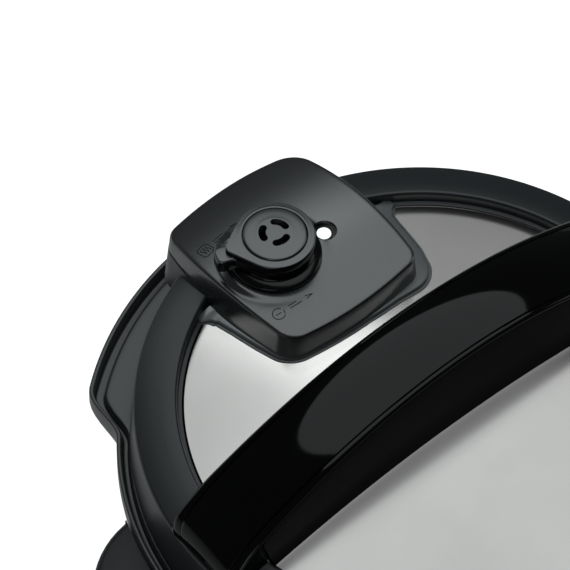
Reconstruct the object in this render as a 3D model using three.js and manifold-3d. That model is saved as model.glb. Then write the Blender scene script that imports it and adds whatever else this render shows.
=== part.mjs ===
// Electric pressure cooker, six litre class, with its lid, valves, controls and inner pot.
// Units are millimetres and +Z is up. The bench is z = 0 and the pot's axis is x = 0.
// The front, with the control panel, faces -Y; the rear, with the steam valve, faces +Y.
import * as THREE from "three";
import { mergeVertices } from "three/addons/utils/BufferGeometryUtils.js";
import Module from "manifold-3d";

const wasm = await Module();
wasm.setup();

// ---------------------------------------------------------------- driving dimensions
const GAP = 0.35; // clearance between pieces that touch
const ROUND = 40; // facets of a large turned piece

// base
const FOOT_HEIGHT = 6;
const COVER_TOP = 50; // seam between the bottom cover and the steel shell
const SHELL_R = 130;
const SHELL_TOP = 206;
const SHEET = 1.2; // pressed sheet thickness
const RIM_TOP = 232; // lip of the base rim
const RIM_R = 140.3; // outside of the lip
const BULGE = 15.7; // how far the rim stands out further at the rear
const BULGE_FULL = 40; // degrees from the rear where the bulge is still full
const BULGE_END = 50; // degrees from the rear where it has run out
const PLATE_R = 83.8; // heating plate
const PLATE_TOP = 65.8;
const LINER_R = 117.7;
const LINER_FLOOR = 48;

// bayonet
const LUGS = 6;
const LUG_HALF = 13; // degrees
const TOOTH_HALF = 13.5; // degrees
const LID_WALL_R = 118;
const LOCK_R = 126;
const TOOTH_Z = 234.4; // underside of the base's teeth

// inner pot
const POT_FLOOR = 66.3;
const POT_R = 111;
const POT_TOP = 229;

// lid, measured from the outer upper edge of its ring
const LID_EDGE = 262;
const RING_R = 132;
const RING_INNER_R = 111.4;
const DOME_R = 109;
const DOME_TOP = 12;
const DOME_EDGE = -0.4;
const LID_SHEET = 1.4;
const LID_WALL_END = -31.4;

// valve housing on the lid
const HOUSING_Y = 94.4;
const HOUSING_HALF = [41.5, 47.5];
const HOUSING_POWER = 5; // squareness of its rounded outline
const HOUSING_WALL = 2.4;
const HOUSING_LOW = -16; // foot of its rear skirt
const HOUSING_DRAFT = 0.0022; // widening per millimetre downwards
const FLANGE = 4.2; // surround that shows round its foot

// arch handle
const ARCH_TOP = 55;
const ARCH_DROP = 0.0024; // fall per millimetre squared from the middle
const ARCH_HALF_WIDTH = 18.5;
const ARCH_END = 131;
const ARCH_SHOULDER = 117;
const ARCH_DRAFT = 0.0028;
const ARCH_SCREW_X = 72;

// valves
const KNOB = [-12.8, 91.7];
const KNOB_LEVER = 160; // degrees, where the lever points
const FLOAT = [13.6, 88.4];
const DISC_R = 14.45;

// controls
const PANEL = { halfWidth: 68, bottom: 68, top: 194, r: 140, y: 2, wall: 2.6, corner: 22 };
const KEY_FRONT = 138.9; // radius of the keys' front faces
const KEY_DEPTH = 4;

// ---------------------------------------------------------------- solids and booleans
const radians = THREE.MathUtils.degToRad;

function toSolid(geometry) {
  const bare = geometry.index ? geometry.toNonIndexed() : geometry.clone();
  bare.deleteAttribute("normal");
  bare.deleteAttribute("uv");
  const merged = mergeVertices(bare, 1e-3);
  const position = merged.attributes.position;
  const triangles = [];
  for (let i = 0; i < merged.index.count; i += 3) {
    const [a, b, c] = [0, 1, 2].map((k) => merged.index.getX(i + k));
    if (a !== b && b !== c && c !== a) triangles.push(a, b, c);
  }
  if (signedVolume(position, triangles) < 0) triangles.reverse();
  const mesh = new wasm.Mesh({
    numProp: 3,
    vertProperties: new Float32Array(position.array),
    triVerts: new Uint32Array(triangles),
  });
  return new wasm.Manifold(mesh);
}

function signedVolume(position, triangles) {
  const [a, b, c] = [new THREE.Vector3(), new THREE.Vector3(), new THREE.Vector3()];
  let volume = 0;
  for (let i = 0; i < triangles.length; i += 3) {
    a.fromBufferAttribute(position, triangles[i]);
    b.fromBufferAttribute(position, triangles[i + 1]);
    c.fromBufferAttribute(position, triangles[i + 2]);
    volume += a.dot(b.cross(c)) / 6;
  }
  return volume;
}

function toGeometry(solid) {
  const mesh = solid.getMesh();
  const geometry = new THREE.BufferGeometry();
  const points = new Float32Array(mesh.numVert * 3);
  for (let i = 0; i < mesh.numVert; i++) {
    for (let k = 0; k < 3; k++) points[3 * i + k] = mesh.vertProperties[i * mesh.numProp + k];
  }
  geometry.setAttribute("position", new THREE.BufferAttribute(points, 3));
  geometry.setIndex(new THREE.BufferAttribute(new Uint32Array(mesh.triVerts), 1));
  geometry.computeVertexNormals();
  return geometry;
}

const join = (first, ...rest) => rest.reduce((whole, next) => whole.add(next), first);
const cut = (first, ...rest) => rest.reduce((whole, next) => whole.subtract(next), first);

// ---------------------------------------------------------------- shape helpers
// Revolves a list of [radius, height] round the Z axis, at [x, y].
function revolve(profile, segments = ROUND, [x, y] = [0, 0]) {
  const points = profile.map(([r, z]) => new THREE.Vector2(r, z));
  const closed = profile[0][0] > 0 || profile.at(-1)[0] > 0;
  if (closed) points.push(points[0].clone());
  const geometry = new THREE.LatheGeometry(points, segments);
  geometry.rotateX(Math.PI / 2);
  geometry.translate(x, y, 0);
  return toSolid(geometry);
}

function drum(r, z0, z1, segments = 32, centre = [0, 0]) {
  return revolve([[0, z0], [r, z0], [r, z1], [0, z1]], segments, centre);
}

function block(x0, x1, y0, y1, z0, z1) {
  const geometry = new THREE.BoxGeometry(x1 - x0, y1 - y0, z1 - z0);
  geometry.translate((x0 + x1) / 2, (y0 + y1) / 2, (z0 + z1) / 2);
  return toSolid(geometry);
}

function outline(points) {
  return new THREE.Shape(points.map(([x, y]) => new THREE.Vector2(x, y)));
}

function extrudeUp(shape, z0, z1, curveSegments = 12) {
  const geometry = new THREE.ExtrudeGeometry(shape, { depth: z1 - z0, bevelEnabled: false, curveSegments });
  geometry.translate(0, 0, z0);
  return geometry;
}

// The shape's own axes become Y and Z.
function extrudeAcross(shape, x0, x1) {
  const geometry = new THREE.ExtrudeGeometry(shape, { depth: x1 - x0, bevelEnabled: false });
  const toYZ = new THREE.Matrix4().makeBasis(
    new THREE.Vector3(0, 1, 0),
    new THREE.Vector3(0, 0, 1),
    new THREE.Vector3(1, 0, 0),
  );
  geometry.applyMatrix4(toYZ);
  geometry.translate(x0, 0, 0);
  return geometry;
}

// The shape's own axes become X and Z.
function extrudeBack(shape, y0, y1, curveSegments = 8) {
  const geometry = new THREE.ExtrudeGeometry(shape, { depth: y1 - y0, bevelEnabled: false, curveSegments });
  geometry.rotateX(Math.PI / 2);
  geometry.translate(0, y1, 0);
  return geometry;
}

function roundedRectangle(halfWidth, z0, z1, corner) {
  const shape = new THREE.Shape();
  shape.moveTo(-halfWidth + corner, z0);
  shape.lineTo(halfWidth - corner, z0);
  shape.absarc(halfWidth - corner, z0 + corner, corner, -Math.PI / 2, 0);
  shape.absarc(halfWidth - corner, z1 - corner, corner, 0, Math.PI / 2);
  shape.absarc(-halfWidth + corner, z1 - corner, corner, Math.PI / 2, Math.PI);
  shape.absarc(-halfWidth + corner, z0 + corner, corner, Math.PI, 1.5 * Math.PI);
  return shape;
}

function sector(r0, r1, middle, half, z0, z1) {
  const shape = new THREE.Shape();
  shape.absarc(0, 0, r1, radians(middle - half), radians(middle + half), false);
  shape.absarc(0, 0, r0, radians(middle + half), radians(middle - half), true);
  return toSolid(extrudeUp(shape, z0, z1, 4));
}

// Moves every point of a geometry with move(point).
function reshape(geometry, move) {
  const position = geometry.attributes.position;
  const point = new THREE.Vector3();
  for (let i = 0; i < position.count; i++) {
    point.fromBufferAttribute(position, i);
    move(point);
    position.setXYZ(i, point.x, point.y, point.z);
  }
  return geometry;
}

// ---------------------------------------------------------------- finishes and nodes
const finishes = {
  satinBlack: { color: 0x2b2d30, roughness: 0.45, metalness: 0 },
  pianoBlack: { color: 0x08080a, roughness: 0.08, metalness: 0 },
  steel: { color: 0xc9cacb, roughness: 0.22, metalness: 1 },
  brushed: { color: 0xb9babc, roughness: 0.35, metalness: 1 },
  aluminium: { color: 0xa8abad, roughness: 0.5, metalness: 1 },
  rubber: { color: 0x151515, roughness: 0.8, metalness: 0 },
  silicone: { color: 0xd8d9d6, roughness: 0.6, metalness: 0 },
  clear: { color: 0xdfe6ea, roughness: 0.1, metalness: 0, transparent: true, opacity: 0.4 },
  key: { color: 0x3a3c40, roughness: 0.4, metalness: 0 },
  board: { color: 0x1d5a34, roughness: 0.6, metalness: 0 },
  display: { color: 0x10151c, roughness: 0.05, metalness: 0 },
};

function piece(name, solid, finish) {
  const mesh = new THREE.Mesh(toGeometry(solid), new THREE.MeshStandardMaterial(finishes[finish]));
  mesh.name = name;
  return mesh;
}

function placed(mesh, x, y, z, turn = 0) {
  mesh.position.set(x, y, z);
  mesh.rotation.z = turn;
  return mesh;
}

// ---------------------------------------------------------------- base: covers and rim
const INLET = { halfWidth: 15, low: 20, high: 46, depth: 32 };
const BOARD_POST = { x: 36, y: 22, r: 4, top: 15.6 };

function bottomCover() {
  const dish = revolve([
    [0, FOOT_HEIGHT], [112, FOOT_HEIGHT], [122, 10], [128, 22], [129.5, COVER_TOP],
    [127, COVER_TOP], [125.6, 23], [120.3, 12.4], [111, 8.6], [0, 8.6],
  ]);
  const slots = [];
  for (let i = 0; i < 12; i++) {
    const slot = extrudeUp(outline([[58, -2], [82, -2], [82, 2], [58, 2]]), 4, 10);
    slots.push(toSolid(slot.rotateZ(radians(i * 30))));
  }
  const window = block(-INLET.halfWidth - GAP, INLET.halfWidth + GAP, 100, 135, INLET.low - GAP,
    INLET.high + GAP);
  const posts = [-1, 1].flatMap((sx) => [-1, 1].map((sy) => (
    drum(BOARD_POST.r, 8, BOARD_POST.top, 12, [sx * BOARD_POST.x, sy * BOARD_POST.y])
  )));
  return piece("bottom_cover", join(cut(dish, ...slots, window), ...posts), "satinBlack");
}

function foot(name, x, y) {
  const profile = [[0, 0], [9.5, 0], [11, 1.5], [11, FOOT_HEIGHT - GAP], [0, FOOT_HEIGHT - GAP]];
  return placed(piece(name, revolve(profile, 20), "rubber"), x, y, 0);
}

function outerShell() {
  const inner = SHELL_R - SHEET;
  const low = COVER_TOP + GAP;
  const tube = revolve([[inner, low], [SHELL_R, low], [SHELL_R, SHELL_TOP], [inner, SHELL_TOP]], 72);
  return piece("outer_shell", cut(tube, block(-45, 45, -140, -90, 84, 176)), "brushed");
}

// How much of the rear bulge is present at an angle from the rear, in degrees: 1 to 0.
function bulgeAt(angle) {
  const t = THREE.MathUtils.clamp((BULGE_END - Math.abs(angle)) / (BULGE_END - BULGE_FULL), 0, 1);
  return t * t * (3 - 2 * t);
}

// Each row: radius, height, and the share of the bulge that this point takes.
const RIM_PROFILE = [
  [SHELL_R + 0.6, 198, 0], [132.4, 198, 0], [134.5, 206, 0.15], [138.6, 216, 0.95],
  [RIM_R, 222, 1], [RIM_R - 0.2, RIM_TOP, 1], [137.8, RIM_TOP, 1], [137.4, 225, 1],
  [134.8, 225, 0.885], [134.4, 230.8, 0.885], [132.4, 230.8, 0], [131.8, 224, 0],
  [127.2, 223.2, 0], [127.2, 218, 0], [SHELL_R + 0.6, 212, 0],
];

function topRim() {
  const points = RIM_PROFILE.map(([r, z]) => new THREE.Vector2(r, z));
  points.push(points[0].clone());
  const geometry = new THREE.LatheGeometry(points, 72);
  const shares = RIM_PROFILE.map((row) => row[2]);
  shares.push(shares[0]);
  const position = geometry.attributes.position;
  for (let i = 0; i < position.count; i++) {
    const [x, z] = [position.getX(i), position.getZ(i)];
    // LatheGeometry turns round its own Y axis; its -Z side becomes the rear.
    const push = bulgeAt(THREE.MathUtils.radToDeg(Math.atan2(x, -z))) * BULGE * shares[i % shares.length];
    const scale = 1 + push / Math.hypot(x, z);
    position.setX(i, x * scale);
    position.setZ(i, z * scale);
  }
  geometry.rotateX(Math.PI / 2);
  const drain = drum(2.6, 205, 240, 12, [0, 151]);
  return piece("top_rim", cut(toSolid(geometry), drain), "satinBlack");
}

const EAR = { reach: 168, half: 54, low: 207, high: 229, wall: 3.2, slotX: 153, slotHalf: 17 };

function earShape(inset) {
  const shape = new THREE.Shape();
  const [inner, outer, half] = [128 + inset, EAR.reach - inset, EAR.half - inset];
  shape.moveTo(inner, -half);
  shape.bezierCurveTo(148, -half, outer, -half + 14, outer, -20);
  shape.lineTo(outer, 20);
  shape.bezierCurveTo(outer, half - 14, 148, half, inner, half);
  return shape;
}

function sideHandle(name, side) {
  const whole = toSolid(extrudeUp(earShape(0), EAR.low, EAR.high, 8));
  const pocket = toSolid(extrudeUp(earShape(EAR.wall), EAR.low - 1, EAR.high - EAR.wall, 8));
  const rimRoom = drum(RIM_R + 0.9, 200, 240, 72);
  const spine = drum(RIM_R + 0.9 + EAR.wall, EAR.low - 2, EAR.high, 72);
  const inside = cut(pocket, spine);
  const slot = block(EAR.slotX - 2.6, EAR.slotX + 2.6, -EAR.slotHalf, EAR.slotHalf, 200, 240);
  const ear = cut(whole, rimRoom, inside, slot);
  return placed(piece(name, ear, "satinBlack"), 0, 0, 0, side > 0 ? 0 : Math.PI);
}

// ---------------------------------------------------------------- base: pot well
function lockingRing() {
  const foot = 221.9;
  const top = TOOTH_Z + 2.4;
  const wall = revolve([
    [119.4, foot], [LOCK_R, foot], [LOCK_R, top], [LOCK_R - 1.4, top],
    [LOCK_R - 1.4, foot + 1.5], [119.4, foot + 1.5],
  ]);
  const teeth = [];
  for (let i = 0; i < LUGS; i++) {
    teeth.push(sector(LID_WALL_R + 0.9, LOCK_R - 0.6, i * 60, TOOTH_HALF, TOOTH_Z, top));
  }
  return piece("locking_ring", join(wall, ...teeth), "steel");
}

function potWell() {
  const inner = LINER_R - SHEET;
  const well = revolve([
    [84.6, LINER_FLOOR], [LINER_R - 6, LINER_FLOOR], [LINER_R, LINER_FLOOR + 6], [LINER_R, 219.9],
    [126.4, 219.9], [126.4, 221.4], [inner, 221.4], [inner, LINER_FLOOR + 6.6],
    [LINER_R - 6.6, LINER_FLOOR + 1.4], [84.6, LINER_FLOOR + 1.4],
  ]);
  return piece("pot_well", well, "aluminium");
}

function heatingPlate() {
  const plate = revolve([
    [15.5, 52], [81, 52], [PLATE_R, 54.5], [PLATE_R, 63], [80, PLATE_TOP], [15.5, PLATE_TOP],
  ], 48);
  return piece("heating_plate", plate, "aluminium");
}

function heatingElement() {
  const tube = new THREE.TorusGeometry(62, 4.2, 8, 28);
  tube.translate(0, 0, 47.2);
  const ends = [-7, 7].map((x) => block(x - 2, x + 2, -64, -60, 34, 46));
  return piece("heating_element", join(toSolid(tube), ...ends), "steel");
}

function sensorBracket() {
  const shape = outline([
    [-22, 51.6], [-22, 42], [22, 42], [22, 51.6], [20.8, 51.6], [20.8, 43.2], [-20.8, 43.2], [-20.8, 51.6],
  ]);
  const strap = toSolid(extrudeBack(shape, -7, 7));
  return piece("sensor_bracket", cut(strap, drum(3.4, 40, 46, 16)), "steel");
}

function temperatureSensor() {
  const button = revolve([
    [0, 38], [3, 38], [3, 58], [12, 58], [12, 64.6], [10.6, PLATE_TOP + 0.1], [0, PLATE_TOP + 0.1],
  ], 24);
  return piece("temperature_sensor", button, "aluminium");
}

class Helix extends THREE.Curve {
  constructor(r, z0, z1, turns) {
    super();
    Object.assign(this, { r, z0, z1, turns });
  }

  getPoint(t, target = new THREE.Vector3()) {
    const angle = 2 * Math.PI * this.turns * t;
    const z = this.z0 + (this.z1 - this.z0) * t;
    return target.set(this.r * Math.cos(angle), this.r * Math.sin(angle), z);
  }
}

function sensorSpring() {
  const wire = new THREE.Shape();
  wire.absarc(0, 0, 0.6, 0, 2 * Math.PI);
  const helix = new Helix(8, 44.2, 57, 4);
  const geometry = new THREE.ExtrudeGeometry(wire, { steps: 40, extrudePath: helix, curveSegments: 2 });
  return piece("sensor_spring", toSolid(geometry), "steel");
}

function thermalFuse() {
  const body = new THREE.CylinderGeometry(2.6, 2.6, 26, 12);
  const clip = block(-4, 4, -3.4, 3.4, 2, 6.4);
  return placed(piece("thermal_fuse", join(toSolid(body), clip), "steel"), 38, -18, 45, radians(30));
}

function pressureSwitch() {
  const body = block(-14, 14, -8, 8, 0, 11);
  const lever = block(-12, 10, -2.5, 2.5, 10, 13);
  return placed(piece("pressure_switch", join(body, lever), "pianoBlack"), -60, 20, 20);
}

function powerBoard() {
  const parts = [
    block(-46, 46, -30, 30, 16, 17.6), block(-38, -12, -14, 14, 17, 37), block(10, 26, -20, -4, 17, 32),
    drum(7, 17, 35, 14, [22, 14]), block(32, 42, -6, 10, 17, 27),
  ];
  return piece("power_board", join(...parts), "board");
}

// IEC appliance inlet: a socket with three blades, facing the rear.
function powerInlet() {
  const { halfWidth, low, high, depth } = INLET;
  const face = 128.6;
  const body = block(-halfWidth, halfWidth, face - depth, face, low, high);
  const mouth = outline([[-12, 25], [12, 25], [12, 36], [7.5, 41], [-7.5, 41], [-12, 36]]);
  const socket = toSolid(extrudeBack(mouth, face - 17, face + 1));
  const blades = [[-7, 30], [7, 30], [0, 35]].map(([x, z]) => (
    block(x - 1, x + 1, face - 20, face - 4.5, z - 2, z + 2)
  ));
  return piece("power_inlet", join(cut(body, socket), ...blades), "satinBlack");
}

// ---------------------------------------------------------------- base: controls
function panelBulk(r, halfWidth, z0, z1, corner) {
  const slab = toSolid(extrudeBack(roundedRectangle(halfWidth, z0, z1, corner), -160, -90, 6));
  return slab.intersect(drum(r, z0 - 1, z1 + 1, 48, [0, PANEL.y]));
}

// Name, angle round the pot's axis from the front, height, half width and half height.
const KEYS = [
  ["key_pressure_cook", -19, 168, 13, 6], ["key_rice", -19, 146, 13, 6], ["key_soup", -19, 124, 13, 6],
  ["key_saute", 19, 168, 13, 6], ["key_slow_cook", 19, 146, 13, 6], ["key_keep_warm", 19, 124, 13, 6],
  ["key_minus", -4.6, 132, 8, 5], ["key_plus", 4.6, 132, 8, 5],
  ["key_cancel", -8, 100, 15, 7], ["key_start", 8, 100, 15, 7],
];
const DISPLAY = { halfWidth: 21, low: 146, high: 176 };

function keySolid(halfWidth, halfHeight, grow, depth) {
  const corner = Math.min(halfHeight - 1, 4);
  const shape = roundedRectangle(halfWidth + grow, -halfHeight - grow, halfHeight + grow, corner);
  return toSolid(extrudeBack(shape, -depth, 0, 2));
}

function keyRoom([, angle, z, halfWidth, halfHeight]) {
  return keySolid(halfWidth, halfHeight, 0.4, 16).translate([0, -KEY_FRONT + 12, z]).rotate([0, 0, angle]);
}

function controlPanel() {
  const { halfWidth, bottom, top, r, wall, corner } = PANEL;
  const bulk = panelBulk(r, halfWidth, bottom, top, corner);
  const shellRoom = drum(SHELL_R + 0.5, bottom - 2, top + 2, 72);
  const hollow = panelBulk(r - wall, halfWidth - wall, bottom + wall, top - wall, corner - wall);
  const glass = roundedRectangle(DISPLAY.halfWidth + GAP, DISPLAY.low - GAP, DISPLAY.high + GAP, 4);
  const glassRoom = toSolid(extrudeBack(glass, -150, -100, 4));
  const panel = cut(bulk, shellRoom, hollow, glassRoom, ...KEYS.map(keyRoom));
  return piece("control_panel", panel, "pianoBlack");
}

function displayWindow() {
  const { halfWidth, low, high } = DISPLAY;
  const slab = toSolid(extrudeBack(roundedRectangle(halfWidth, low, high, 3.6), -160, -100, 4));
  const lens = slab.intersect(drum(PANEL.r - 0.2, low - 1, high + 1, 48, [0, PANEL.y]));
  return piece("display_window", cut(lens, drum(PANEL.r - 3, low - 1, high + 1, 48, [0, PANEL.y])), "display");
}

function key([name, angle, z, halfWidth, halfHeight]) {
  const mesh = piece(name, keySolid(halfWidth, halfHeight, 0, KEY_DEPTH), "key");
  const swing = new THREE.Group();
  swing.rotation.z = radians(angle);
  swing.add(placed(mesh, 0, -KEY_FRONT + KEY_DEPTH, z));
  return swing;
}

function controlBoard() {
  const board = block(-38, 38, -120.6, -119, 94, 174);
  const chip = block(-9, 9, -124, -120, 116, 128);
  return piece("control_board", join(board, chip), "board");
}

// ---------------------------------------------------------------- base: collector and slide
const CUP = { half: 26, front: 138, rear: 153, low: 141, top: 190, wall: 1.6, tab: 3.6 };

function collectorBracket() {
  const back = block(-38, 38, 131, 133.4, 148, 197);
  const inner = CUP.half + 1;
  const groove = CUP.half + CUP.tab + GAP;
  const outer = groove + 2.4;
  const arms = [-1, 1].map((side) => {
    const points = [
      [inner, -5], [outer, -5], [outer, 5], [inner, 5],
      [inner, 2.6], [groove, 2.6], [groove, -2.6], [inner, -2.6],
    ].map(([x, z]) => [side * x, CUP.top - 1 + z]);
    return toSolid(extrudeBack(outline(side > 0 ? points : points.reverse()), 133, 150));
  });
  return piece("collector_bracket", join(back, ...arms), "satinBlack");
}

function condensationCollector() {
  const { half, front, rear, low, top, wall, tab } = CUP;
  const cupShape = (inset) => {
    const shape = new THREE.Shape();
    const corner = 8 - inset;
    shape.moveTo(-half + inset, front + inset);
    shape.lineTo(half - inset, front + inset);
    shape.lineTo(half - inset, rear - inset - corner);
    shape.absarc(half - inset - corner, rear - inset - corner, corner, 0, Math.PI / 2);
    shape.lineTo(-half + inset + corner, rear - inset);
    shape.absarc(-half + inset + corner, rear - inset - corner, corner, Math.PI / 2, Math.PI);
    return shape;
  };
  const outside = toSolid(extrudeUp(cupShape(0), low, top, 5));
  const inside = toSolid(extrudeUp(cupShape(wall), low + wall, top + 1, 5));
  const tabs = [-1, 1].map((side) => {
    const [a, b] = [side * (half - 1), side * (half + tab)];
    return block(Math.min(a, b), Math.max(a, b), front + 1, 149, top - 2, top);
  });
  return piece("condensation_collector", join(outside, ...tabs).subtract(inside), "clear");
}

// Slides in the rim's channel; two prongs straddle a tab under the lid's edge and follow it.
function lidPositionSlide() {
  const runner = sector(127.8, 131, 180, 7, 224.6, 229);
  const prongs = [-1, 1].map((side) => sector(127.9, 130.9, 180 + side * 4.6, 1.6, 228, 233));
  return piece("lid_position_slide", join(runner, ...prongs), "silicone");
}

// ---------------------------------------------------------------- inner pot
function innerPot() {
  const skin = 1.1;
  const pot = revolve([
    [0, POT_FLOOR], [95, POT_FLOOR], [105, 68.6], [110, 74], [POT_R, 80], [POT_R, 224],
    [114.6, 225.6], [114.8, 228], [113.4, POT_TOP], [110.8, 228.4], [POT_R - skin, 226],
    [POT_R - skin, 80.4], [109, 74.8], [104.4, 69.7], [94.8, POT_FLOOR + skin], [0, POT_FLOOR + skin],
  ]);
  return piece("inner_pot", pot, "steel");
}

// ---------------------------------------------------------------- lid: steel and ring
const domeHeight = (r) => DOME_TOP - (DOME_TOP - DOME_EDGE) * (r / DOME_R) ** 2;
const DOME_STEPS = [0, 30, 60, 85, DOME_R];

// Everything that lies under the lid's upper face, raised by a clearance.
function underLid(clearance) {
  const dome = DOME_STEPS.map((r) => [r, domeHeight(r) + clearance]).reverse();
  return revolve([
    [0, -60], [RING_R + 2.8, -60], [RING_R + 2.8, -0.1 + clearance], [RING_R + 0.6, 0.6 + clearance],
    [125, 3 + clearance], [118, 5 + clearance], [RING_INNER_R + 0.8, 5.9 + clearance],
    [RING_INNER_R - 0.4, 5.9 + clearance], [DOME_R + 0.4, DOME_EDGE + clearance], ...dome,
  ]);
}

function steelLid() {
  const outer = DOME_STEPS.map((r) => [r, domeHeight(r)]);
  const inner = DOME_STEPS.slice(0, -1).map((r) => [r, domeHeight(r) - LID_SHEET]).reverse();
  const dish = revolve([
    ...outer, [111.5, -2.6], [116, -4.2], [LID_WALL_R, -6.4], [LID_WALL_R, LID_WALL_END],
    [LID_WALL_R - LID_SHEET, LID_WALL_END], [LID_WALL_R - LID_SHEET, -7], [115, -5.7],
    [110.8, -4.1], [108.2, -1.9], ...inner,
  ]);
  const lugs = [];
  for (let i = 0; i < LUGS; i++) {
    lugs.push(sector(LID_WALL_R - 0.7, 123.6, 30 + i * 60, LUG_HALF, LID_WALL_END, LID_WALL_END + 2.6));
  }
  const holes = [drum(5.4, -20, 20, 20, KNOB), drum(3, -20, 20, 16, FLOAT)];
  for (const side of [-1, 1]) holes.push(drum(2.2, -20, 20, 12, [side * ARCH_SCREW_X, 0]));
  return piece("steel_lid", cut(join(dish, ...lugs), ...holes), "steel");
}

function housingOutline(grow) {
  const points = [];
  const count = 32;
  for (let i = 0; i < count; i++) {
    const t = (2 * Math.PI * (i + 0.5)) / count;
    const bend = (value) => Math.sign(value) * Math.abs(value) ** (2 / HOUSING_POWER);
    points.push([
      (HOUSING_HALF[0] + grow) * bend(Math.cos(t)),
      (HOUSING_HALF[1] + grow) * bend(Math.sin(t)),
    ]);
  }
  return outline(points);
}

// The housing's block before it is hollowed: drafted sides under a top that falls to the rear.
function housingBlock(grow, low) {
  const sides = extrudeUp(housingOutline(grow), low, 34);
  reshape(sides, (point) => {
    const wider = 1 + HOUSING_DRAFT * (24 - point.z);
    point.set(point.x * wider, point.y * wider, point.z);
  });
  sides.translate(0, HOUSING_Y, 0);
  return toSolid(sides);
}

const housingTop = (y) => 24.4 - 0.12 * (y - HOUSING_Y) - 0.0024 * (y - HOUSING_Y) ** 2;

function belowHousingTop(drop) {
  const points = [[20, -40], [170, -40]];
  for (let y = 170; y >= 20; y -= 15) points.push([y, housingTop(y) - drop]);
  return toSolid(extrudeAcross(outline(points), -60, 60));
}

function lidRing() {
  const ring = revolve([
    [RING_INNER_R, -0.8], [RING_INNER_R, 5.3], [RING_INNER_R + 0.8, 5.9], [118, 5], [125, 3],
    [RING_R - 0.8, 0.5], [RING_R, -0.4], [134.2, -27.8],
    [131.6, -27.8], [131.2, -12], [129.6, -3.4], [124, 0.2], [113.9, 2.6], [113.9, -0.8],
  ]);
  const tab = join(sector(128.4, 130.8, 180, 1.8, -32, -24), sector(130.4, 132.4, 180, 1.8, -27.6, -24));
  const surround = cut(housingBlock(FLANGE, -8), housingBlock(GAP, -9));
  const dome = DOME_STEPS.slice(1).map((r) => [r, domeHeight(r)]);
  const band = revolve([
    ...dome.map(([r, z]) => [r, z + GAP]), [RING_INNER_R + 1, 0], [117.5, 2.4], [117.5, 5.4],
    [RING_INNER_R + 0.6, 6.2], [DOME_R + 0.5, 5.4], ...dome.map(([r, z]) => [r, z + 2.4]).reverse(),
  ]);
  return piece("lid_ring", join(ring, tab, surround.intersect(band)), "satinBlack");
}

// ---------------------------------------------------------------- lid: housing and handle
function valveHousing() {
  const outside = housingBlock(0, HOUSING_LOW).intersect(belowHousingTop(0));
  const inside = housingBlock(-HOUSING_WALL, HOUSING_LOW - 1).intersect(belowHousingTop(HOUSING_WALL));
  const level = housingTop(KNOB[1]);
  const boss = revolve([
    [0, level - 3], [25, level - 3], [25, level - 0.4], [22.5, level + 1.3], [0, level + 1.3],
  ], 32, KNOB);
  const knobBore = drum(12.8, 0, 40, 28, KNOB);
  const floatBore = drum(6, 0, 40, 20, FLOAT);
  const shell = cut(join(cut(outside, inside), boss), knobBore, floatBore, underLid(GAP));
  return piece("valve_housing", shell, "satinBlack");
}

function archProfile(inset) {
  const points = [];
  const [end, shoulder] = [ARCH_END - inset, ARCH_SHOULDER - inset / 2];
  points.push([-end, -10], [end, -10], [end, 10]);
  for (let x = shoulder; x >= -shoulder; x -= shoulder / 10) {
    points.push([x, ARCH_TOP - inset - ARCH_DROP * x * x]);
  }
  points.push([-end, 10]);
  return outline(points);
}

function archBlock(inset) {
  const halfWidth = ARCH_HALF_WIDTH - inset;
  const geometry = extrudeBack(archProfile(inset), -halfWidth, halfWidth);
  reshape(geometry, (point) => {
    point.y *= 1 + ARCH_DRAFT * (ARCH_TOP - point.z);
  });
  return toSolid(geometry);
}

function archHandle() {
  const posts = [-1, 1].map((side) => drum(5.5, 0, 38, 16, [side * ARCH_SCREW_X, 0]));
  const bores = [-1, 1].map((side) => drum(2.1, 0, 26, 12, [side * ARCH_SCREW_X, 0]));
  const hollow = archBlock(3);
  return piece("arch_handle", cut(join(cut(archBlock(0), hollow), ...posts), ...bores, underLid(GAP)),
    "pianoBlack");
}

function handleScrew(name, side) {
  const seat = domeHeight(ARCH_SCREW_X + 5) - LID_SHEET - 0.5;
  const screw = revolve([
    [0, seat - 2.6], [3.6, seat - 2.6], [4.6, seat - 1.2], [4.6, seat], [1.7, seat], [1.7, 24], [0, 24],
  ], 16);
  return placed(piece(name, screw, "steel"), side * ARCH_SCREW_X, 0, 0);
}

// ---------------------------------------------------------------- lid: seal and valves
function sealingRing() {
  const seal = revolve([
    [105.6, -18], [116.1, -18], [116.1, -29.6], [112.6, -32.3], [107.4, -32.3], [107.4, -30.6],
    [112, -30.4], [113.8, -28.8], [113.8, -20.2], [105.6, -20.2],
  ]);
  return piece("sealing_ring", seal, "silicone");
}

function sealRack() {
  const wire = new THREE.TorusGeometry(110.8, 1.5, 6, ROUND);
  wire.translate(0, 0, -24.6);
  return piece("seal_rack", toSolid(wire), "steel");
}

const PIPE_SEAT = domeHeight(Math.hypot(...KNOB) - 9) + 0.6;

function exhaustPipe() {
  const pipe = revolve([
    [2, -12], [5, -12], [5, PIPE_SEAT], [8.4, PIPE_SEAT + 0.6], [8.4, PIPE_SEAT + 3], [5, PIPE_SEAT + 3],
    [5, 25], [3.4, 27], [2, 27],
  ], 16);
  return placed(piece("exhaust_pipe", pipe, "steel"), KNOB[0], KNOB[1], 0);
}

function exhaustNut() {
  const nut = revolve([[6.2, -5.6], [10, -5.6], [10, -1.2], [6.2, -1.2]], 6);
  return placed(piece("exhaust_nut", nut, "steel"), KNOB[0], KNOB[1], 0);
}

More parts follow.
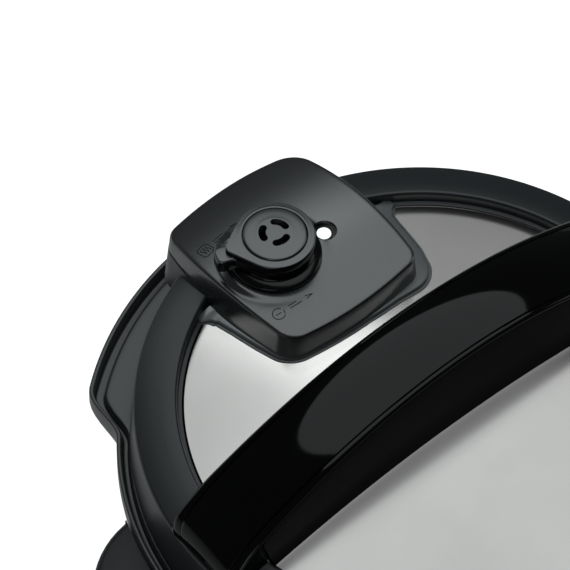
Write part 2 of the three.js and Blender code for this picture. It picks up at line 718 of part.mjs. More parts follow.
function antiBlockShield() {
  const shield = revolve([
    [5.5, -6.6], [9.3, -6.6], [9.3, -22], [7.8, -25], [0, -25], [0, -23.6], [7.2, -23.6],
    [8.1, -21.6], [8.1, -8], [5.5, -8],
  ], 18);
  const slots = [];
  for (let i = 0; i < 6; i++) {
    const slot = extrudeUp(outline([[6, -1.2], [12, -1.2], [12, 1.2], [6, 1.2]]), -21, -10);
    slots.push(toSolid(slot.rotateZ(radians(i * 60))));
  }
  return placed(piece("anti_block_shield", cut(shield, ...slots), "steel"), KNOB[0], KNOB[1], 0);
}

function floatPin() {
  const pin = revolve([
    [0, -8.4], [2.2, -8.4], [2.2, 17.6], [3.6, 17.6], [3.6, 20.6], [2.8, 21.2], [0, 21.2],
  ], 20);
  return placed(piece("float_pin", pin, "steel"), FLOAT[0], FLOAT[1], 0);
}

function floatSeal() {
  const cap = revolve([[2.5, -10.2], [4.6, -10.2], [5.2, -8.6], [5.2, -6.3], [2.5, -6.3]], 20);
  return placed(piece("float_seal", cap, "silicone"), FLOAT[0], FLOAT[1], 0);
}

// ---------------------------------------------------------------- steam release knob
// Drawn with its foot at z = 0 and its lever along +X; the group turns it.
const KNOB_DIMS = { stem: 12, flange: 20, body: 17.6, top: 16.4, brow: 18.4, tip: 23.4, pocket: 14.8 };

function teardrop(r, tip, tipRadius) {
  const lean = Math.acos((r - tipRadius) / (tip - tipRadius));
  const shape = new THREE.Shape();
  shape.absarc(0, 0, r, lean, 2 * Math.PI - lean, false);
  shape.absarc(tip - tipRadius, 0, tipRadius, -lean, lean, false);
  return shape;
}

function releaseKnob() {
  const { stem, flange, body, top, brow, tip, pocket } = KNOB_DIMS;
  const turned = revolve([
    [0, -13], [stem, -13], [stem, 1.7], [flange - 0.8, 1.7], [flange, 2.6], [flange, 4], [flange - 1.4, 4.8],
    [body, 5.4], [body, 11], [0, 11],
  ], 32);
  const plate = toSolid(extrudeUp(teardrop(brow, tip, 3), 10, top, 10));
  const lever = toSolid(extrudeUp(roundedRectangle(6.4, -4.4, 4.4, 3), 5.6, 13.2, 3).translate(22, 0, 0));
  const recess = drum(pocket, top - 3, top + 1, 32);
  const bore = drum(5.7, -14, top + 1, 16);
  return piece("release_knob", cut(join(turned, plate, lever), recess, bore), "satinBlack");
}

function knobCap() {
  const low = KNOB_DIMS.top - 3 + GAP;
  const disc = revolve([
    [0, low], [DISC_R, low], [DISC_R, KNOB_DIMS.top + 0.5], [DISC_R - 0.6, KNOB_DIMS.top + 0.9],
    [9, KNOB_DIMS.top + 1.8], [0, KNOB_DIMS.top + 2.2],
  ], 32);
  const slots = [105, 225, 345].map((middle) => sector(4.6, 7.4, middle, 32, 0, 40));
  return piece("knob_cap", cut(disc, ...slots), "satinBlack");
}

function valveWeight() {
  const weight = revolve([[0, 3.2], [2, 3.2], [5.2, 5], [5.2, 11], [4, 12.4], [0, 12.4]], 20);
  return piece("valve_weight", weight, "steel");
}

// ---------------------------------------------------------------- assembly
function buildBase() {
  const base = new THREE.Group();
  const stance = 66;
  base.add(bottomCover(), outerShell(), topRim(), sideHandle("handle_left", -1), sideHandle("handle_right", 1));
  base.add(foot("foot_front_left", -stance, -stance), foot("foot_front_right", stance, -stance));
  base.add(foot("foot_rear_left", -stance, stance), foot("foot_rear_right", stance, stance));
  base.add(lockingRing(), potWell(), heatingPlate(), heatingElement(), sensorBracket(), sensorSpring());
  base.add(temperatureSensor(), thermalFuse(), pressureSwitch(), powerBoard(), powerInlet());
  base.add(controlPanel(), displayWindow(), controlBoard(), ...KEYS.map(key));
  base.add(collectorBracket(), condensationCollector(), lidPositionSlide());
  return base;
}

function buildLid() {
  const lid = new THREE.Group();
  lid.position.z = LID_EDGE;
  lid.add(steelLid(), lidRing(), valveHousing(), archHandle());
  lid.add(handleScrew("handle_screw_left", -1), handleScrew("handle_screw_right", 1));
  lid.add(sealingRing(), sealRack(), exhaustPipe(), exhaustNut(), antiBlockShield());
  lid.add(floatPin(), floatSeal());
  const knob = new THREE.Group();
  knob.position.set(KNOB[0], KNOB[1], housingTop(KNOB[1]));
  knob.rotation.z = radians(KNOB_LEVER);
  knob.add(releaseKnob(), knobCap(), valveWeight());
  lid.add(knob);
  return lid;
}

const group = new THREE.Group();
group.add(buildBase(), innerPot(), buildLid());
// The rim's rear bulge reaches further than the front, so the pot's axis sits forward of the middle.
group.position.y = -BULGE / 2;

export default group;
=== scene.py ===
"""Electric pressure cooker: the looks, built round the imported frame. Its sections count in millimetres,
the studio in metres."""
import math

import bmesh
import bpy
import numpy as np
from mathutils import Matrix, Vector


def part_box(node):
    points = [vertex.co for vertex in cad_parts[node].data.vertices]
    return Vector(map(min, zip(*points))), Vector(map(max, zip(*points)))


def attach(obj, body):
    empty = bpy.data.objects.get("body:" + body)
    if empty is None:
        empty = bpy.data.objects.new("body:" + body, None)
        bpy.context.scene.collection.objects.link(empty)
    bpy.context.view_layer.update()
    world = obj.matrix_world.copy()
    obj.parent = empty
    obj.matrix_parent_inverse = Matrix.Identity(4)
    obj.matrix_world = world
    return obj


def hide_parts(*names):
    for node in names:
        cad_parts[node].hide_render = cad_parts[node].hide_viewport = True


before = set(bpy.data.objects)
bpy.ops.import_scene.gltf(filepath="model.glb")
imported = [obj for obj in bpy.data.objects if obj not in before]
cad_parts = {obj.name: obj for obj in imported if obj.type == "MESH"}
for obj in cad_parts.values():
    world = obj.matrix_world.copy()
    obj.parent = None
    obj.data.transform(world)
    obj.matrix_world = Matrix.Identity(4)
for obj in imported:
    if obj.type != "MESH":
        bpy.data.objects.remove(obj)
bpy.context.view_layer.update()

# ---------------------------------------------------------------- studio
# A white backdrop and a pale floor, which is two squares: the camera sees the bright one, and all
# else is lit by the dark one. Soft boxes light and reflect but aren't seen, and a long lens looks
# down on the lid from the front left.
FLOOR_HALF, BACKDROP_RADIUS, CEILING, LOW_CEILING = 14.0, 15.0, 1.52, 1.5  # metres
LAMP_COLOUR = (0.92, 0.99, 1.0)
RAYS = ("diffuse", "glossy", "transmission", "volume_scatter", "shadow")


def glow(name, strength):
    """A material that only gives white light."""
    material = bpy.data.materials.new(name)
    material.use_nodes = True
    nodes = material.node_tree.nodes
    nodes.clear()
    emission = nodes.new("ShaderNodeEmission")
    emission.inputs["Strength"].default_value = strength
    output = nodes.new("ShaderNodeOutputMaterial")
    material.node_tree.links.new(emission.outputs[0], output.inputs["Surface"])
    return material


def stage_floor(name, z, luminous, seen):
    """A square of pale floor at height z. Its own light keeps the shadows on it soft. Either the camera
    alone sees it, or everything but the camera."""
    mesh = bpy.data.meshes.new(name)
    corners = [(x * FLOOR_HALF, y * FLOOR_HALF, z) for x, y in ((-1, -1), (1, -1), (1, 1), (-1, 1))]
    mesh.from_pydata(corners, [], [(0, 1, 2, 3)])
    floor = bpy.data.objects.new(name, mesh)
    bpy.context.collection.objects.link(floor)
    material = bpy.data.materials.new(name + "_pale")
    material.use_nodes = True
    shader = material.node_tree.nodes["Principled BSDF"]
    shader.inputs["Base Color"].default_value = (0.82, 0.82, 0.82, 1)
    shader.inputs["Roughness"].default_value = 0.9
    shader.inputs["Specular IOR Level"].default_value = 0.1
    shader.inputs["Emission Color"].default_value = (1, 1, 1, 1)
    shader.inputs["Emission Strength"].default_value = luminous
    mesh.materials.append(material)
    floor.visible_camera = seen
    for ray in RAYS:
        setattr(floor, "visible_" + ray, not seen)


def stage_backdrop():
    """A white ball round everything, seen by the camera alone."""
    mesh = bpy.data.meshes.new("backdrop")
    ball = bmesh.new()
    bmesh.ops.create_uvsphere(ball, u_segments=32, v_segments=16, radius=BACKDROP_RADIUS)
    ball.to_mesh(mesh)
    ball.free()
    backdrop = bpy.data.objects.new("backdrop", mesh)
    bpy.context.collection.objects.link(backdrop)
    mesh.materials.append(glow("backdrop_white", 1.0))
    for ray in RAYS:
        setattr(backdrop, "visible_" + ray, False)


def soft_box(name, place, aim, size, radiance, shape="RECTANGLE", pieces=None, shades=None):
    """A flat light at place, facing aim, in metres; its power is radiance times pi times its area. It
    lights everything, or what the collection pieces says; the collection shades says what shades it."""
    lamp = bpy.data.lights.new(name, "AREA")
    lamp.color = LAMP_COLOUR
    lamp.shape = shape
    lamp.size, lamp.size_y = size
    lamp.energy = radiance * math.pi * size[0] * size[1] * (math.pi / 4 if shape == "ELLIPSE" else 1)
    box = bpy.data.objects.new(name, lamp)
    bpy.context.collection.objects.link(box)
    box.location = place
    box.rotation_mode = "QUATERNION"
    box.rotation_quaternion = (Vector(aim) - Vector(place)).to_track_quat("-Z", "Y")
    box.visible_camera = False
    if pieces:
        box.light_linking.receiver_collection = pieces
    if shades:
        box.light_linking.blocker_collection = shades


def level_box(name, x, y, size, radiance, z=CEILING, **limits):
    """A soft box that faces straight down on a point of the floor."""
    soft_box(name, (x, y, z), (x, y, 0), size, radiance, **limits)


def group(name, *pieces):
    """A collection that lights its pieces, or is shaded by them."""
    collection = bpy.data.collections.new(name)
    for piece in pieces:
        collection.objects.link(piece)
    return collection


def leave_out(collection, *pieces):
    """Makes a collection stand for everything but the pieces in it."""
    for piece in pieces:
        collection.objects.link(piece)
    for link in collection.collection_objects:
        link.light_linking.link_state = "EXCLUDE"


CAMERA_AZIMUTH, CAMERA_ELEVATION, CAMERA_ROLL = 40.35, 54.67, 0.61  # degrees, from the front towards -X
CAMERA_DISTANCE = 1.6764
CAMERA_AIM = Vector((-0.0218, 0.0659, 0.2918))
CAMERA_LENS, CAMERA_SENSOR = 236.27, 36  # millimetres


def studio_camera():
    """The camera, swung round its aim point by an azimuth and an elevation, then rolled."""
    azimuth, elevation = math.radians(CAMERA_AZIMUTH), math.radians(CAMERA_ELEVATION)
    back = Vector((
        -math.sin(azimuth) * math.cos(elevation),
        -math.cos(azimuth) * math.cos(elevation),
        math.sin(elevation),
    ))
    lens = bpy.data.cameras.new("camera")
    lens.lens, lens.sensor_width = CAMERA_LENS, CAMERA_SENSOR
    camera = bpy.data.objects.new("camera", lens)
    bpy.context.collection.objects.link(camera)
    upright = (-back).to_track_quat("-Z", "Y").to_matrix()
    rolled = upright @ Matrix.Rotation(math.radians(CAMERA_ROLL), 3, "Z")
    camera.matrix_world = Matrix.Translation(CAMERA_AIM + back * CAMERA_DISTANCE) @ rolled.to_4x4()
    bpy.context.scene.camera = camera


stage_floor("floor_seen", 0.0, 0.93, True)
stage_floor("floor_bounce", -0.001, 0.13, False)
stage_backdrop()
studio_camera()
world = bpy.data.worlds.new("studio_air")
world.use_nodes = True
world.node_tree.nodes["Background"].inputs["Color"].default_value = (0.9, 0.95, 1.0, 1)
world.node_tree.nodes["Background"].inputs["Strength"].default_value = 0.05
bpy.context.scene.world = world
bpy.context.scene.view_settings.view_transform = "Standard"
# The steel dome mirrors its own set of boxes: a broad one over its front and four side by side over
# its rear. Everything else has one oval box above instead. Two of the dome's boxes and those of the
# ring and the surround aren't shaded by the valve housing and the knob, and one doesn't light it.
on_steel, off_steel, no_shade, off_housing, on_shell = (
    group(name) for name in ("lit_steel", "lit_others", "shades", "lit_but_housing", "lit_shell"))
level_box("box_overhead", 0.46, 0.36, (1.85, 2.25), 0.76, shape="ELLIPSE", pieces=off_steel)
for name, x, y, size, radiance, shades in (
    ("front", 0.55, 0.06, (2.1, 1.32), 0.68, None),
    ("left", -0.11, 1.12, (0.78, 0.8), 0.62, no_shade),
    ("bright", 0.5, 1.05, (0.44, 1.2), 1.25, no_shade),
    ("right", 1.45, 1.65, (1.5, 1.86), 0.27, None),
    ("far", 0.25, 1.9, (0.94, 0.46), 1.0, None),
):
    level_box("box_steel_" + name, x, y, size, radiance, pieces=on_steel, shades=shades)
LOW_AIM, LID_AIM = (0, 0, 0.15), (0, 0, 0.25)
soft_box("box_front_left", (-1.9, -1.5, 0.8), LOW_AIM, (1.2, 1.4), 0.8, pieces=off_housing)
soft_box("box_right", (2.1, -0.9, 0.7), LOW_AIM, (1.0, 1.4), 0.8)
soft_box("box_rear", (-0.6, 2.4, 0.45), LOW_AIM, (1.6, 0.7), 0.6)
# The brushed shell has three more, tall and narrow, that draw upright highlights on it, and two low
# broad ones. The dome has one low box, for those who look from the front right.
for name, x, y in (("left", -2.0, -0.9), ("right", 1.3, -2.0), ("rear", 1.2, 2.1)):
    soft_box("box_shell_" + name, (x, y, 0.3), LOW_AIM, (0.9, 1.2), 1.5, pieces=on_shell)
for name, side, pieces in (
    ("low_left", -1, on_shell), ("low_right", 1, on_shell), ("steel_low", -1, on_steel),
):
    soft_box("box_" + name, (1.8 * side, -1.7 * side, 1.0), LID_AIM, (1.7, 1.1), 0.9, pieces=pieces)

# ---------------------------------------------------------------- feet
# Four soft rubber pads pressed under the bottom cover. They are turned shapes with a rounded
# lower edge, so this section also holds the tools for turned pieces and for plain finishes.
MM = 0.001


def middle(node):
    """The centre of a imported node's box, in millimetres."""
    low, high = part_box(node)
    return np.array((low + high) / 2) / MM


pot_axis = middle("inner_pot")[1]
base_origin = np.array([0, pot_axis, 0])


def rounded(corners, steps=5):
    """Rows of coordinates and a cut, joined by straight lines; each corner becomes the quadratic curve
    that leaves the line one cut before the corner and joins it again one cut after."""
    rows = np.array(corners, float)
    point, cut = rows[:, :-1], rows[:, -1]

    def leave(neighbour):
        """The point one cut from each corner towards its neighbour, at most halfway."""
        side = neighbour - point
        share = np.minimum(cut / np.maximum(np.linalg.norm(side[:, :2], axis=1), 1e-9), 0.48)
        return (point + side * share[:, None])[:, None]

    t = np.linspace(0, 1, steps + 1)[None, :, None]
    first, last = leave(np.roll(point, 1, 0)), leave(np.roll(point, -1, 0))
    curve = (1 - t) ** 2 * first + 2 * t * (1 - t) * point[:, None] + t**2 * last
    return curve.reshape(-1, point.shape[1])


def turn(profile, segments=160):
    """A closed outline of (radius, height) revolved round Z: x = r cos a, y = r sin a."""
    angle = np.linspace(0, 2 * np.pi, segments, endpoint=False)
    r, z = profile[:, 0, None], profile[:, 1, None]
    return np.stack([r * np.cos(angle), r * np.sin(angle), z + 0 * angle], 2)


def woven(grid, cap=False):
    """Quads between the neighbours of a grid that closes on itself along its columns, and along its rows
    too unless it has caps, which are flat faces on its first and last row."""
    rows, columns = grid.shape[:2]
    index = np.arange(rows * columns).reshape(rows, columns)
    upper = index[1:] if cap else np.roll(index, -1, 0)
    lower = index[:-1] if cap else index
    quads = np.stack([lower, np.roll(lower, -1, 1), np.roll(upper, -1, 1), upper], 2)
    faces = quads.reshape(-1, 4).tolist()
    if cap:
        faces += [index[0, ::-1].tolist(), index[-1].tolist()]
    return grid.reshape(-1, 3), faces


def joined(*shapes):
    """Several shapes, each a pair of points and faces, as one."""
    offsets = np.cumsum([0] + [len(points) for points, _ in shapes])
    faces = [[i + offset for i in face] for (_, some), offset in zip(shapes, offsets) for face in some]
    return np.concatenate([points for points, _ in shapes]), faces


def mesh_of(name, points, faces):
    """A mesh from points in metres: equal points are merged and faces turned outwards."""
    mesh = bpy.data.meshes.new(name)
    mesh.from_pydata(points.tolist(), [], faces)
    tidy = bmesh.new()
    tidy.from_mesh(mesh)
    bmesh.ops.remove_doubles(tidy, verts=tidy.verts, dist=2e-6)
    bmesh.ops.dissolve_degenerate(tidy, edges=tidy.edges, dist=1e-7)
    bmesh.ops.recalc_face_normals(tidy, faces=tidy.faces)
    tidy.to_mesh(mesh)
    tidy.free()
    return mesh


def soften(mesh, crease=35):
    """Smooth shading that stays crisp on edges sharper than crease degrees."""
    mesh.shade_smooth()
    mesh.set_sharp_from_angle(angle=math.radians(crease))


def make(name, shape, origin, material, body, nodes=(), crease=35):
    """A piece from a shape in millimetres round origin. It rides on body and stands for the nodes."""
    points, faces = shape
    mesh = mesh_of(name, (points + origin) * MM, faces)
    soften(mesh, crease)
    mesh.materials.append(material)
    piece = bpy.data.objects.new(name, mesh)
    bpy.context.collection.objects.link(piece)
    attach(piece, body)
    if nodes:
        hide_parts(*([nodes] if isinstance(nodes, str) else nodes))
    return piece


def plain(name, colour, roughness, metallic=0.0, level=0.5, coat=0.0, coat_roughness=0.05, ior=1.5):
    """A Principled material with its steady values on the shader itself."""
    material = bpy.data.materials.new(name)
    material.use_nodes = True
    shader = material.node_tree.nodes["Principled BSDF"]
    shader.inputs["Base Color"].default_value = (*colour, 1)
    shader.inputs["Roughness"].default_value = roughness
    shader.inputs["Metallic"].default_value = metallic
    shader.inputs["Specular IOR Level"].default_value = level
    shader.inputs["IOR"].default_value = ior
    shader.inputs["Coat Weight"].default_value = coat
    shader.inputs["Coat Roughness"].default_value = coat_roughness
    return material


def grain(material, scale, depth=0.0, spread=0.0, shade=0.0, stretch=(1, 1, 1), detail=3.0):
    """Adds a noise in object space, squeezed by stretch: depth is its bump in metres, spread how far the
    roughness wanders with it and shade how far the colour does."""
    tree = material.node_tree
    nodes, link = tree.nodes, tree.links.new
    shader = nodes["Principled BSDF"]
    place = nodes.new("ShaderNodeTexCoord")
    squeeze = nodes.new("ShaderNodeMapping")
    squeeze.inputs["Scale"].default_value = stretch
    noise = nodes.new("ShaderNodeTexNoise")
    noise.inputs["Scale"].default_value = scale
    noise.inputs["Detail"].default_value = detail
    link(place.outputs["Object"], squeeze.inputs["Vector"])
    link(squeeze.outputs["Vector"], noise.inputs["Vector"])
    if depth:
        bump = nodes.new("ShaderNodeBump")
        bump.inputs["Distance"].default_value = depth
        link(noise.outputs["Fac"], bump.inputs["Height"])
        link(bump.outputs["Normal"], shader.inputs["Normal"])
    if spread:
        limits = nodes.new("ShaderNodeMapRange")
        rough = shader.inputs["Roughness"].default_value
        limits.inputs["To Min"].default_value = rough - spread
        limits.inputs["To Max"].default_value = rough + spread
        link(noise.outputs["Fac"], limits.inputs["Value"])
        link(limits.outputs["Result"], shader.inputs["Roughness"])
    if shade:
        colour = list(shader.inputs["Base Color"].default_value)[:3]
        ramp = nodes.new("ShaderNodeValToRGB")
        for element, place, factor in zip(ramp.color_ramp.elements, (0.3, 0.7), (1 - shade, 1 + shade)):
            element.position = place
            element.color = (*[c * factor for c in colour], 1)
        link(noise.outputs["Fac"], ramp.inputs["Fac"])
        link(ramp.outputs["Color"], shader.inputs["Base Color"])
    return material


foot_rubber = grain(plain("foot_rubber", (0.022, 0.022, 0.023), 0.8), 900, 0.00004, 0.08, 0.15)
FLOOR_ONLY = (1, 1, 0)
FOOT = rounded([(0, 0, 0), (9.6, 0, 1), (11, 1.6, 0.8), (11, 5.65, 0), (0, 5.65, 0)])
for corner in ("front_left", "front_right", "rear_left", "rear_right"):
    spot = middle("foot_" + corner) * FLOOR_ONLY
    make("foot_pad_" + corner, woven(turn(FOOT, 64)), spot, foot_rubber, "base", "foot_" + corner)

# ---------------------------------------------------------------- bottom cover
# A dish of black moulded plastic with slots that let air into the base. The slots are cut through
# its floor, a window in its rear wall takes the appliance inlet, and four posts carry the board.
def drilled(piece, cutters, origin, crease=35):
    """Cuts closed shapes, in millimetres round origin, out of a piece for good."""
    points, faces = joined(*cutters)
    cutter = bpy.data.objects.new("cutter", mesh_of("cutter", (points + origin) * MM, faces))
    bpy.context.collection.objects.link(cutter)
    cut = piece.modifiers.new("cut", "BOOLEAN")
    cut.operation, cut.solver, cut.object = "DIFFERENCE", "EXACT", cutter
    evaluated = piece.evaluated_get(bpy.context.evaluated_depsgraph_get())
    result = bpy.data.meshes.new_from_object(evaluated)
    piece.modifiers.clear()
    piece.data = result
    soften(result, crease)
    bpy.data.objects.remove(cutter)
    return piece


def slab(outline, profile, cap=True):
    """An outline in x and y given a wall: each row (inset, height) of the profile is the outline moved
    inwards by inset along its own normal."""
    ahead = np.roll(outline, -1, 0) - np.roll(outline, 1, 0)
    ahead /= np.maximum(np.linalg.norm(ahead, axis=1, keepdims=True), 1e-9)
    x, y = outline.T
    handed = np.sign(np.sum(x * np.roll(y, -1) - y * np.roll(x, -1)))
    inward = np.stack([-ahead[:, 1], ahead[:, 0]], 1) * handed
    profile = np.array(profile, float)
    flat = outline[None] + profile[:, 0, None, None] * inward[None]
    height = np.broadcast_to(profile[:, 1, None, None], flat.shape[:2] + (1,))
    return woven(np.concatenate([flat, height], 2), cap)


def lozenge(half_x, half_y, corner, steps=6):
    """A rectangle with rounded corners, centred on the origin."""
    return rounded([(half_x, -half_y, corner), (half_x, half_y, corner), (-half_x, half_y, corner),
                    (-half_x, -half_y, corner)], steps)


def moved(shape, shift=(0, 0, 0), degrees=0.0):
    """A shape shifted and then turned round Z."""
    points, faces = shape
    a = math.radians(degrees)
    spin = np.array([[math.cos(a), math.sin(a), 0], [-math.sin(a), math.cos(a), 0], [0, 0, 1]])
    return (points + np.array(shift, float)) @ spin, faces


def bar(x0, x1, y0, y1, z0, z1, edge=0.6):
    """A block with its upright edges rounded and its two ends softened."""
    soft = min(edge, (z1 - z0) / 3)
    shape = slab(lozenge((x1 - x0) / 2, (y1 - y0) / 2, edge, 3),
                 [(soft / 2, z0), (0, z0 + soft / 2), (0, z1 - soft / 2), (soft / 2, z1)])
    return moved(shape, ((x0 + x1) / 2, (y0 + y1) / 2, 0))


def satin(name, colour=(0.022, 0.023, 0.025), roughness=0.36, level=0.5, depth=0.000012, ior=1.5):
    """Black moulded plastic with a fine spark-eroded grain."""
    return grain(plain(name, colour, roughness, level=level, ior=ior), 2600, depth, 0.03, 0.08, detail=2.0)


base_black = satin("base_black", roughness=0.44, depth=0.00002)
COVER_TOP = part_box("bottom_cover")[1].z / MM
COVER = rounded([
    (0, 6, 0), (112, 6, 6), (122, 10, 5), (128, 22, 10), (129.6, COVER_TOP, 0.5),
    (127, COVER_TOP, 0), (125.6, 23, 8), (120.3, 12.4, 5), (111, 8.6, 4), (0, 8.6, 0),
])
BOARD_POST = rounded([(0, 8, 0), (4, 8, 0), (4, 15.6, 0.4), (0, 15.6, 0)])
posts = [moved(woven(turn(BOARD_POST, 32)), (x, y, 0)) for x in (-36, 36) for y in (-22, 22)]
cover = make("bottom_cover_moulding", joined(woven(turn(COVER, 200)), *posts), base_origin, base_black,
             "base", "bottom_cover")
VENTS, VENT_R = 12, 70
vent = slab(lozenge(12, 1.9, 1.8, 4), [(0, 3), (0, 12)])
inlet_x, _, inlet_z = middle("power_inlet")
inlet_window = bar(inlet_x - 15.4, inlet_x + 15.4, 108, 140, inlet_z - 13.4, inlet_z + 13.4)
vents = [moved(vent, (VENT_R, 0, 0), i * 360 / VENTS) for i in range(VENTS)]
drilled(cover, vents + [inlet_window], base_origin)

# ---------------------------------------------------------------- outer shell
# A sleeve of brushed stainless steel sheet between the bottom cover and the rim, closed by a
# seam under the control panel, which also covers the hole that its wiring goes through.
def brushed(name, colour, roughness, along, depth=0.000004, spread=0.09):
    """Brushed metal: a noise drawn out along the stroke, so that it varies only across it."""
    return grain(plain(name, colour, roughness, metallic=1.0), 60, depth, spread, 0.05, along, detail=6.0)


shell_steel = brushed("shell_steel", (0.7, 0.695, 0.69), 0.3, (0.35, 0.35, 60))
SHELL_LOW, SHELL_HIGH = (value.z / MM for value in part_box("outer_shell"))
SHELL = rounded([(128.8, SHELL_LOW, 0.2), (130, SHELL_LOW, 0.4), (130, SHELL_HIGH, 0.4),
                 (128.8, SHELL_HIGH, 0.2)], 3)
SHELL = np.concatenate([SHELL[:8], [[130, z] for z in np.linspace(70, 190, 7)], SHELL[8:]])
shell = make("steel_sleeve", woven(turn(SHELL, 240)), base_origin, shell_steel, "base", "outer_shell")
wiring_hole = bar(-45, 45, -150, -90, 84, 176)
drilled(shell, [wiring_hole], base_origin)
on_shell.objects.link(shell)

# ---------------------------------------------------------------- top rim
# One black moulding that holds the sleeve's upper edge. Its thin lip runs round the lid, with a
# gutter inside it, and at the rear both stand out to make room for the steam that drips down.
BULGE, RIGHT_BULGE = 15.7, 13.0
RIGHT_FROM, RIGHT_TO = -0.05, 0.15  # cosines of the angles between which one passes into the other
BULGE_FOOT, BULGE_BLEND = 50, 10  # degrees


def bulge_share(angle):
    """How much of the rear bulge is there at an angle from +X, in radians: a smooth step from 0 at 50
    degrees from the rear to 1 at 40."""
    away = np.abs((np.degrees(angle) - 90 + 180) % 360 - 180)
    t = np.clip((BULGE_FOOT - away) / BULGE_BLEND, 0, 1)
    return t * t * (3 - 2 * t)


RIM = rounded([  # radius, height, share of the bulge, cut
    (130.6, 198, 0, 0.3), (132.2, 198, 0, 0.6), (134.5, 206, 0.15, 3), (138.6, 216, 0.95, 3),
    (140.3, 222, 1, 2), (140.2, 232, 1, 1.0), (137.9, 232, 1, 0.9), (137.4, 225, 1, 0.9),
    (134.8, 225, 0.885, 0.8), (134.5, 230.8, 0.885, 0.7), (132.3, 230.8, 0, 0.9), (131.8, 224, 0, 0.8),
    (127.2, 223.2, 0, 0.4), (127.2, 218, 0, 0.4), (130.6, 212, 0, 0.5),
], 4)


def rim_surface(segments=360):
    """The rim's outline revolved round Z, each point moved out by its own share of the bulge, which is a
    little less on the right."""
    angle = np.linspace(0, 2 * np.pi, segments, endpoint=False)
    bulge = np.interp(np.cos(angle), (RIGHT_FROM, RIGHT_TO), (BULGE, RIGHT_BULGE))
    r = RIM[:, 0, None] + bulge * RIM[:, 2, None] * bulge_share(angle)
    return np.stack([r * np.cos(angle), r * np.sin(angle), RIM[:, 1, None] + 0 * angle], 2)


def cylinder(r, low, high, segments=240):
    """A plain cylinder round the axis, to cut with."""
    return woven(turn(np.array([(0, low), (r, low), (r, high), (0, high)], float), segments))


rim_black = satin("rim_black", (0.034, 0.036, 0.037), 0.33, 0.9, ior=1.6)
rim = make("rim_moulding", woven(rim_surface()), base_origin, rim_black, "base", "top_rim")
DRAIN_R, DRAIN_Y = 2.6, 151
drain = cylinder(DRAIN_R, 200, 240, 32)
drilled(rim, [moved(drain, (0, DRAIN_Y, 0))], base_origin)

# ---------------------------------------------------------------- side handles
# Two hollow ears of the same black plastic, screwed to the rim from below. Fingers go into the
# open underside, and a slot through each ear holds the lid upright when it is off.
EAR_REACH, EAR_HALF, EAR_LOW, EAR_HIGH, EAR_ROOT = 168, 54, 207, 229, 128
RIM_REACH, POCKET_REACH, SLOT_AT = 141.2, 144.4, 153


def ear_outline(steps=14):
    """Half of the ear is a cubic curve from the rim to its flat outer edge; the other half mirrors it."""
    t = np.linspace(0, 1, steps)[:, None]
    a, b, c, d = np.array([(EAR_ROOT, -EAR_HALF), (EAR_ROOT + 20, -EAR_HALF), (EAR_REACH, -40),
                           (EAR_REACH, -20)], float)
    half = (1 - t) ** 3 * a + 3 * t * (1 - t) ** 2 * b + 3 * t**2 * (1 - t) * c + t**3 * d
    return np.concatenate([half, half[::-1] * (1, -1)])


EAR_WALL = [(0.9, EAR_LOW), (0.3, EAR_LOW + 0.3), (0, EAR_LOW + 0.9), (0, EAR_HIGH - 3.4),
            (0.5, EAR_HIGH - 1.6), (1.6, EAR_HIGH - 0.5), (3.4, EAR_HIGH)]
ear = slab(ear_outline(), EAR_WALL)
ear_pocket = slab(ear_outline(), [(3.2, EAR_LOW - 1), (3.2, EAR_HIGH - 5), (4.6, EAR_HIGH - 3.2)])
ear_slot = moved(slab(lozenge(2.6, 17, 2, 4), [(0, 200), (0, 240)]), (SLOT_AT, 0, 0))


def taken(piece):
    """A finished piece as a shape in millimetres round the base's origin."""
    points = np.array([vertex.co for vertex in piece.data.vertices]) / MM - base_origin
    return points, [list(face.vertices) for face in piece.data.polygons]


# The left ear is cut to shape, and the right one is the same mesh turned round. The pocket ends
# before the rim, so it is cut by itself first.
hollow = make("hollow", moved(ear_pocket, degrees=180), base_origin, base_black, "base")
drilled(hollow, [cylinder(POCKET_REACH, 204, EAR_HIGH - 3.2)], base_origin)
pocket = taken(hollow)
bpy.data.objects.remove(hollow)
left_ear = make("side_handle_left", moved(ear, degrees=180), base_origin, base_black, "base", "handle_left")
for cutter in (moved(ear_slot, degrees=180), cylinder(RIM_REACH, 190, 240), pocket):
    drilled(left_ear, [cutter], base_origin)
make("side_handle_right", moved(taken(left_ear), degrees=180), base_origin, base_black, "base",
     "handle_right")

# ---------------------------------------------------------------- pot well and heater
# A spun aluminium well hangs in the rim and a cast plate stands in its floor over a ring element.
# A sprung sensor stands in the plate's middle. Its bracket and spring, the fuse, the switch and the
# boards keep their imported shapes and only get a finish.
def cast(name, colour, roughness, depth):
    """Cast or spun metal that is matt, with a coarse uneven grain."""
    return grain(plain(name, colour, roughness, metallic=1.0), 700, depth, 0.1, 0.12)


well_metal = cast("well_aluminium", (0.46, 0.46, 0.47), 0.42, 0.00001)
WELL = rounded([
    (84.6, 48, 0.2), (111.7, 48, 4), (117.7, 54, 4), (117.7, 219.9, 1), (126.4, 219.9, 0.4),
    (126.4, 221.4, 0.4), (116.5, 221.4, 1.4), (116.5, 54.6, 4), (111.1, 49.4, 4), (84.6, 49.4, 0.2),
], 4)
make("pot_well_liner", woven(turn(WELL, 200)), base_origin, well_metal, "base", "pot_well")
plate_metal = cast("plate_aluminium", (0.55, 0.55, 0.56), 0.5, 0.00003)
PLATE = rounded([
    (15.5, 52, 0.3), (81, 52, 2), (83.8, 54.5, 2), (83.8, 63, 2), (80, 65.8, 1.6), (60, 65.8, 0.6),
    (59.4, 65.2, 0.4), (58.6, 65.2, 0.4), (58, 65.8, 0.6), (36, 65.8, 0.6), (35.4, 65.2, 0.4),
    (34.6, 65.2, 0.4), (34, 65.8, 0.6), (15.5, 65.8, 0.5),
], 3)
make("heating_plate_cast", woven(turn(PLATE, 200)), base_origin, plate_metal, "base", "heating_plate")


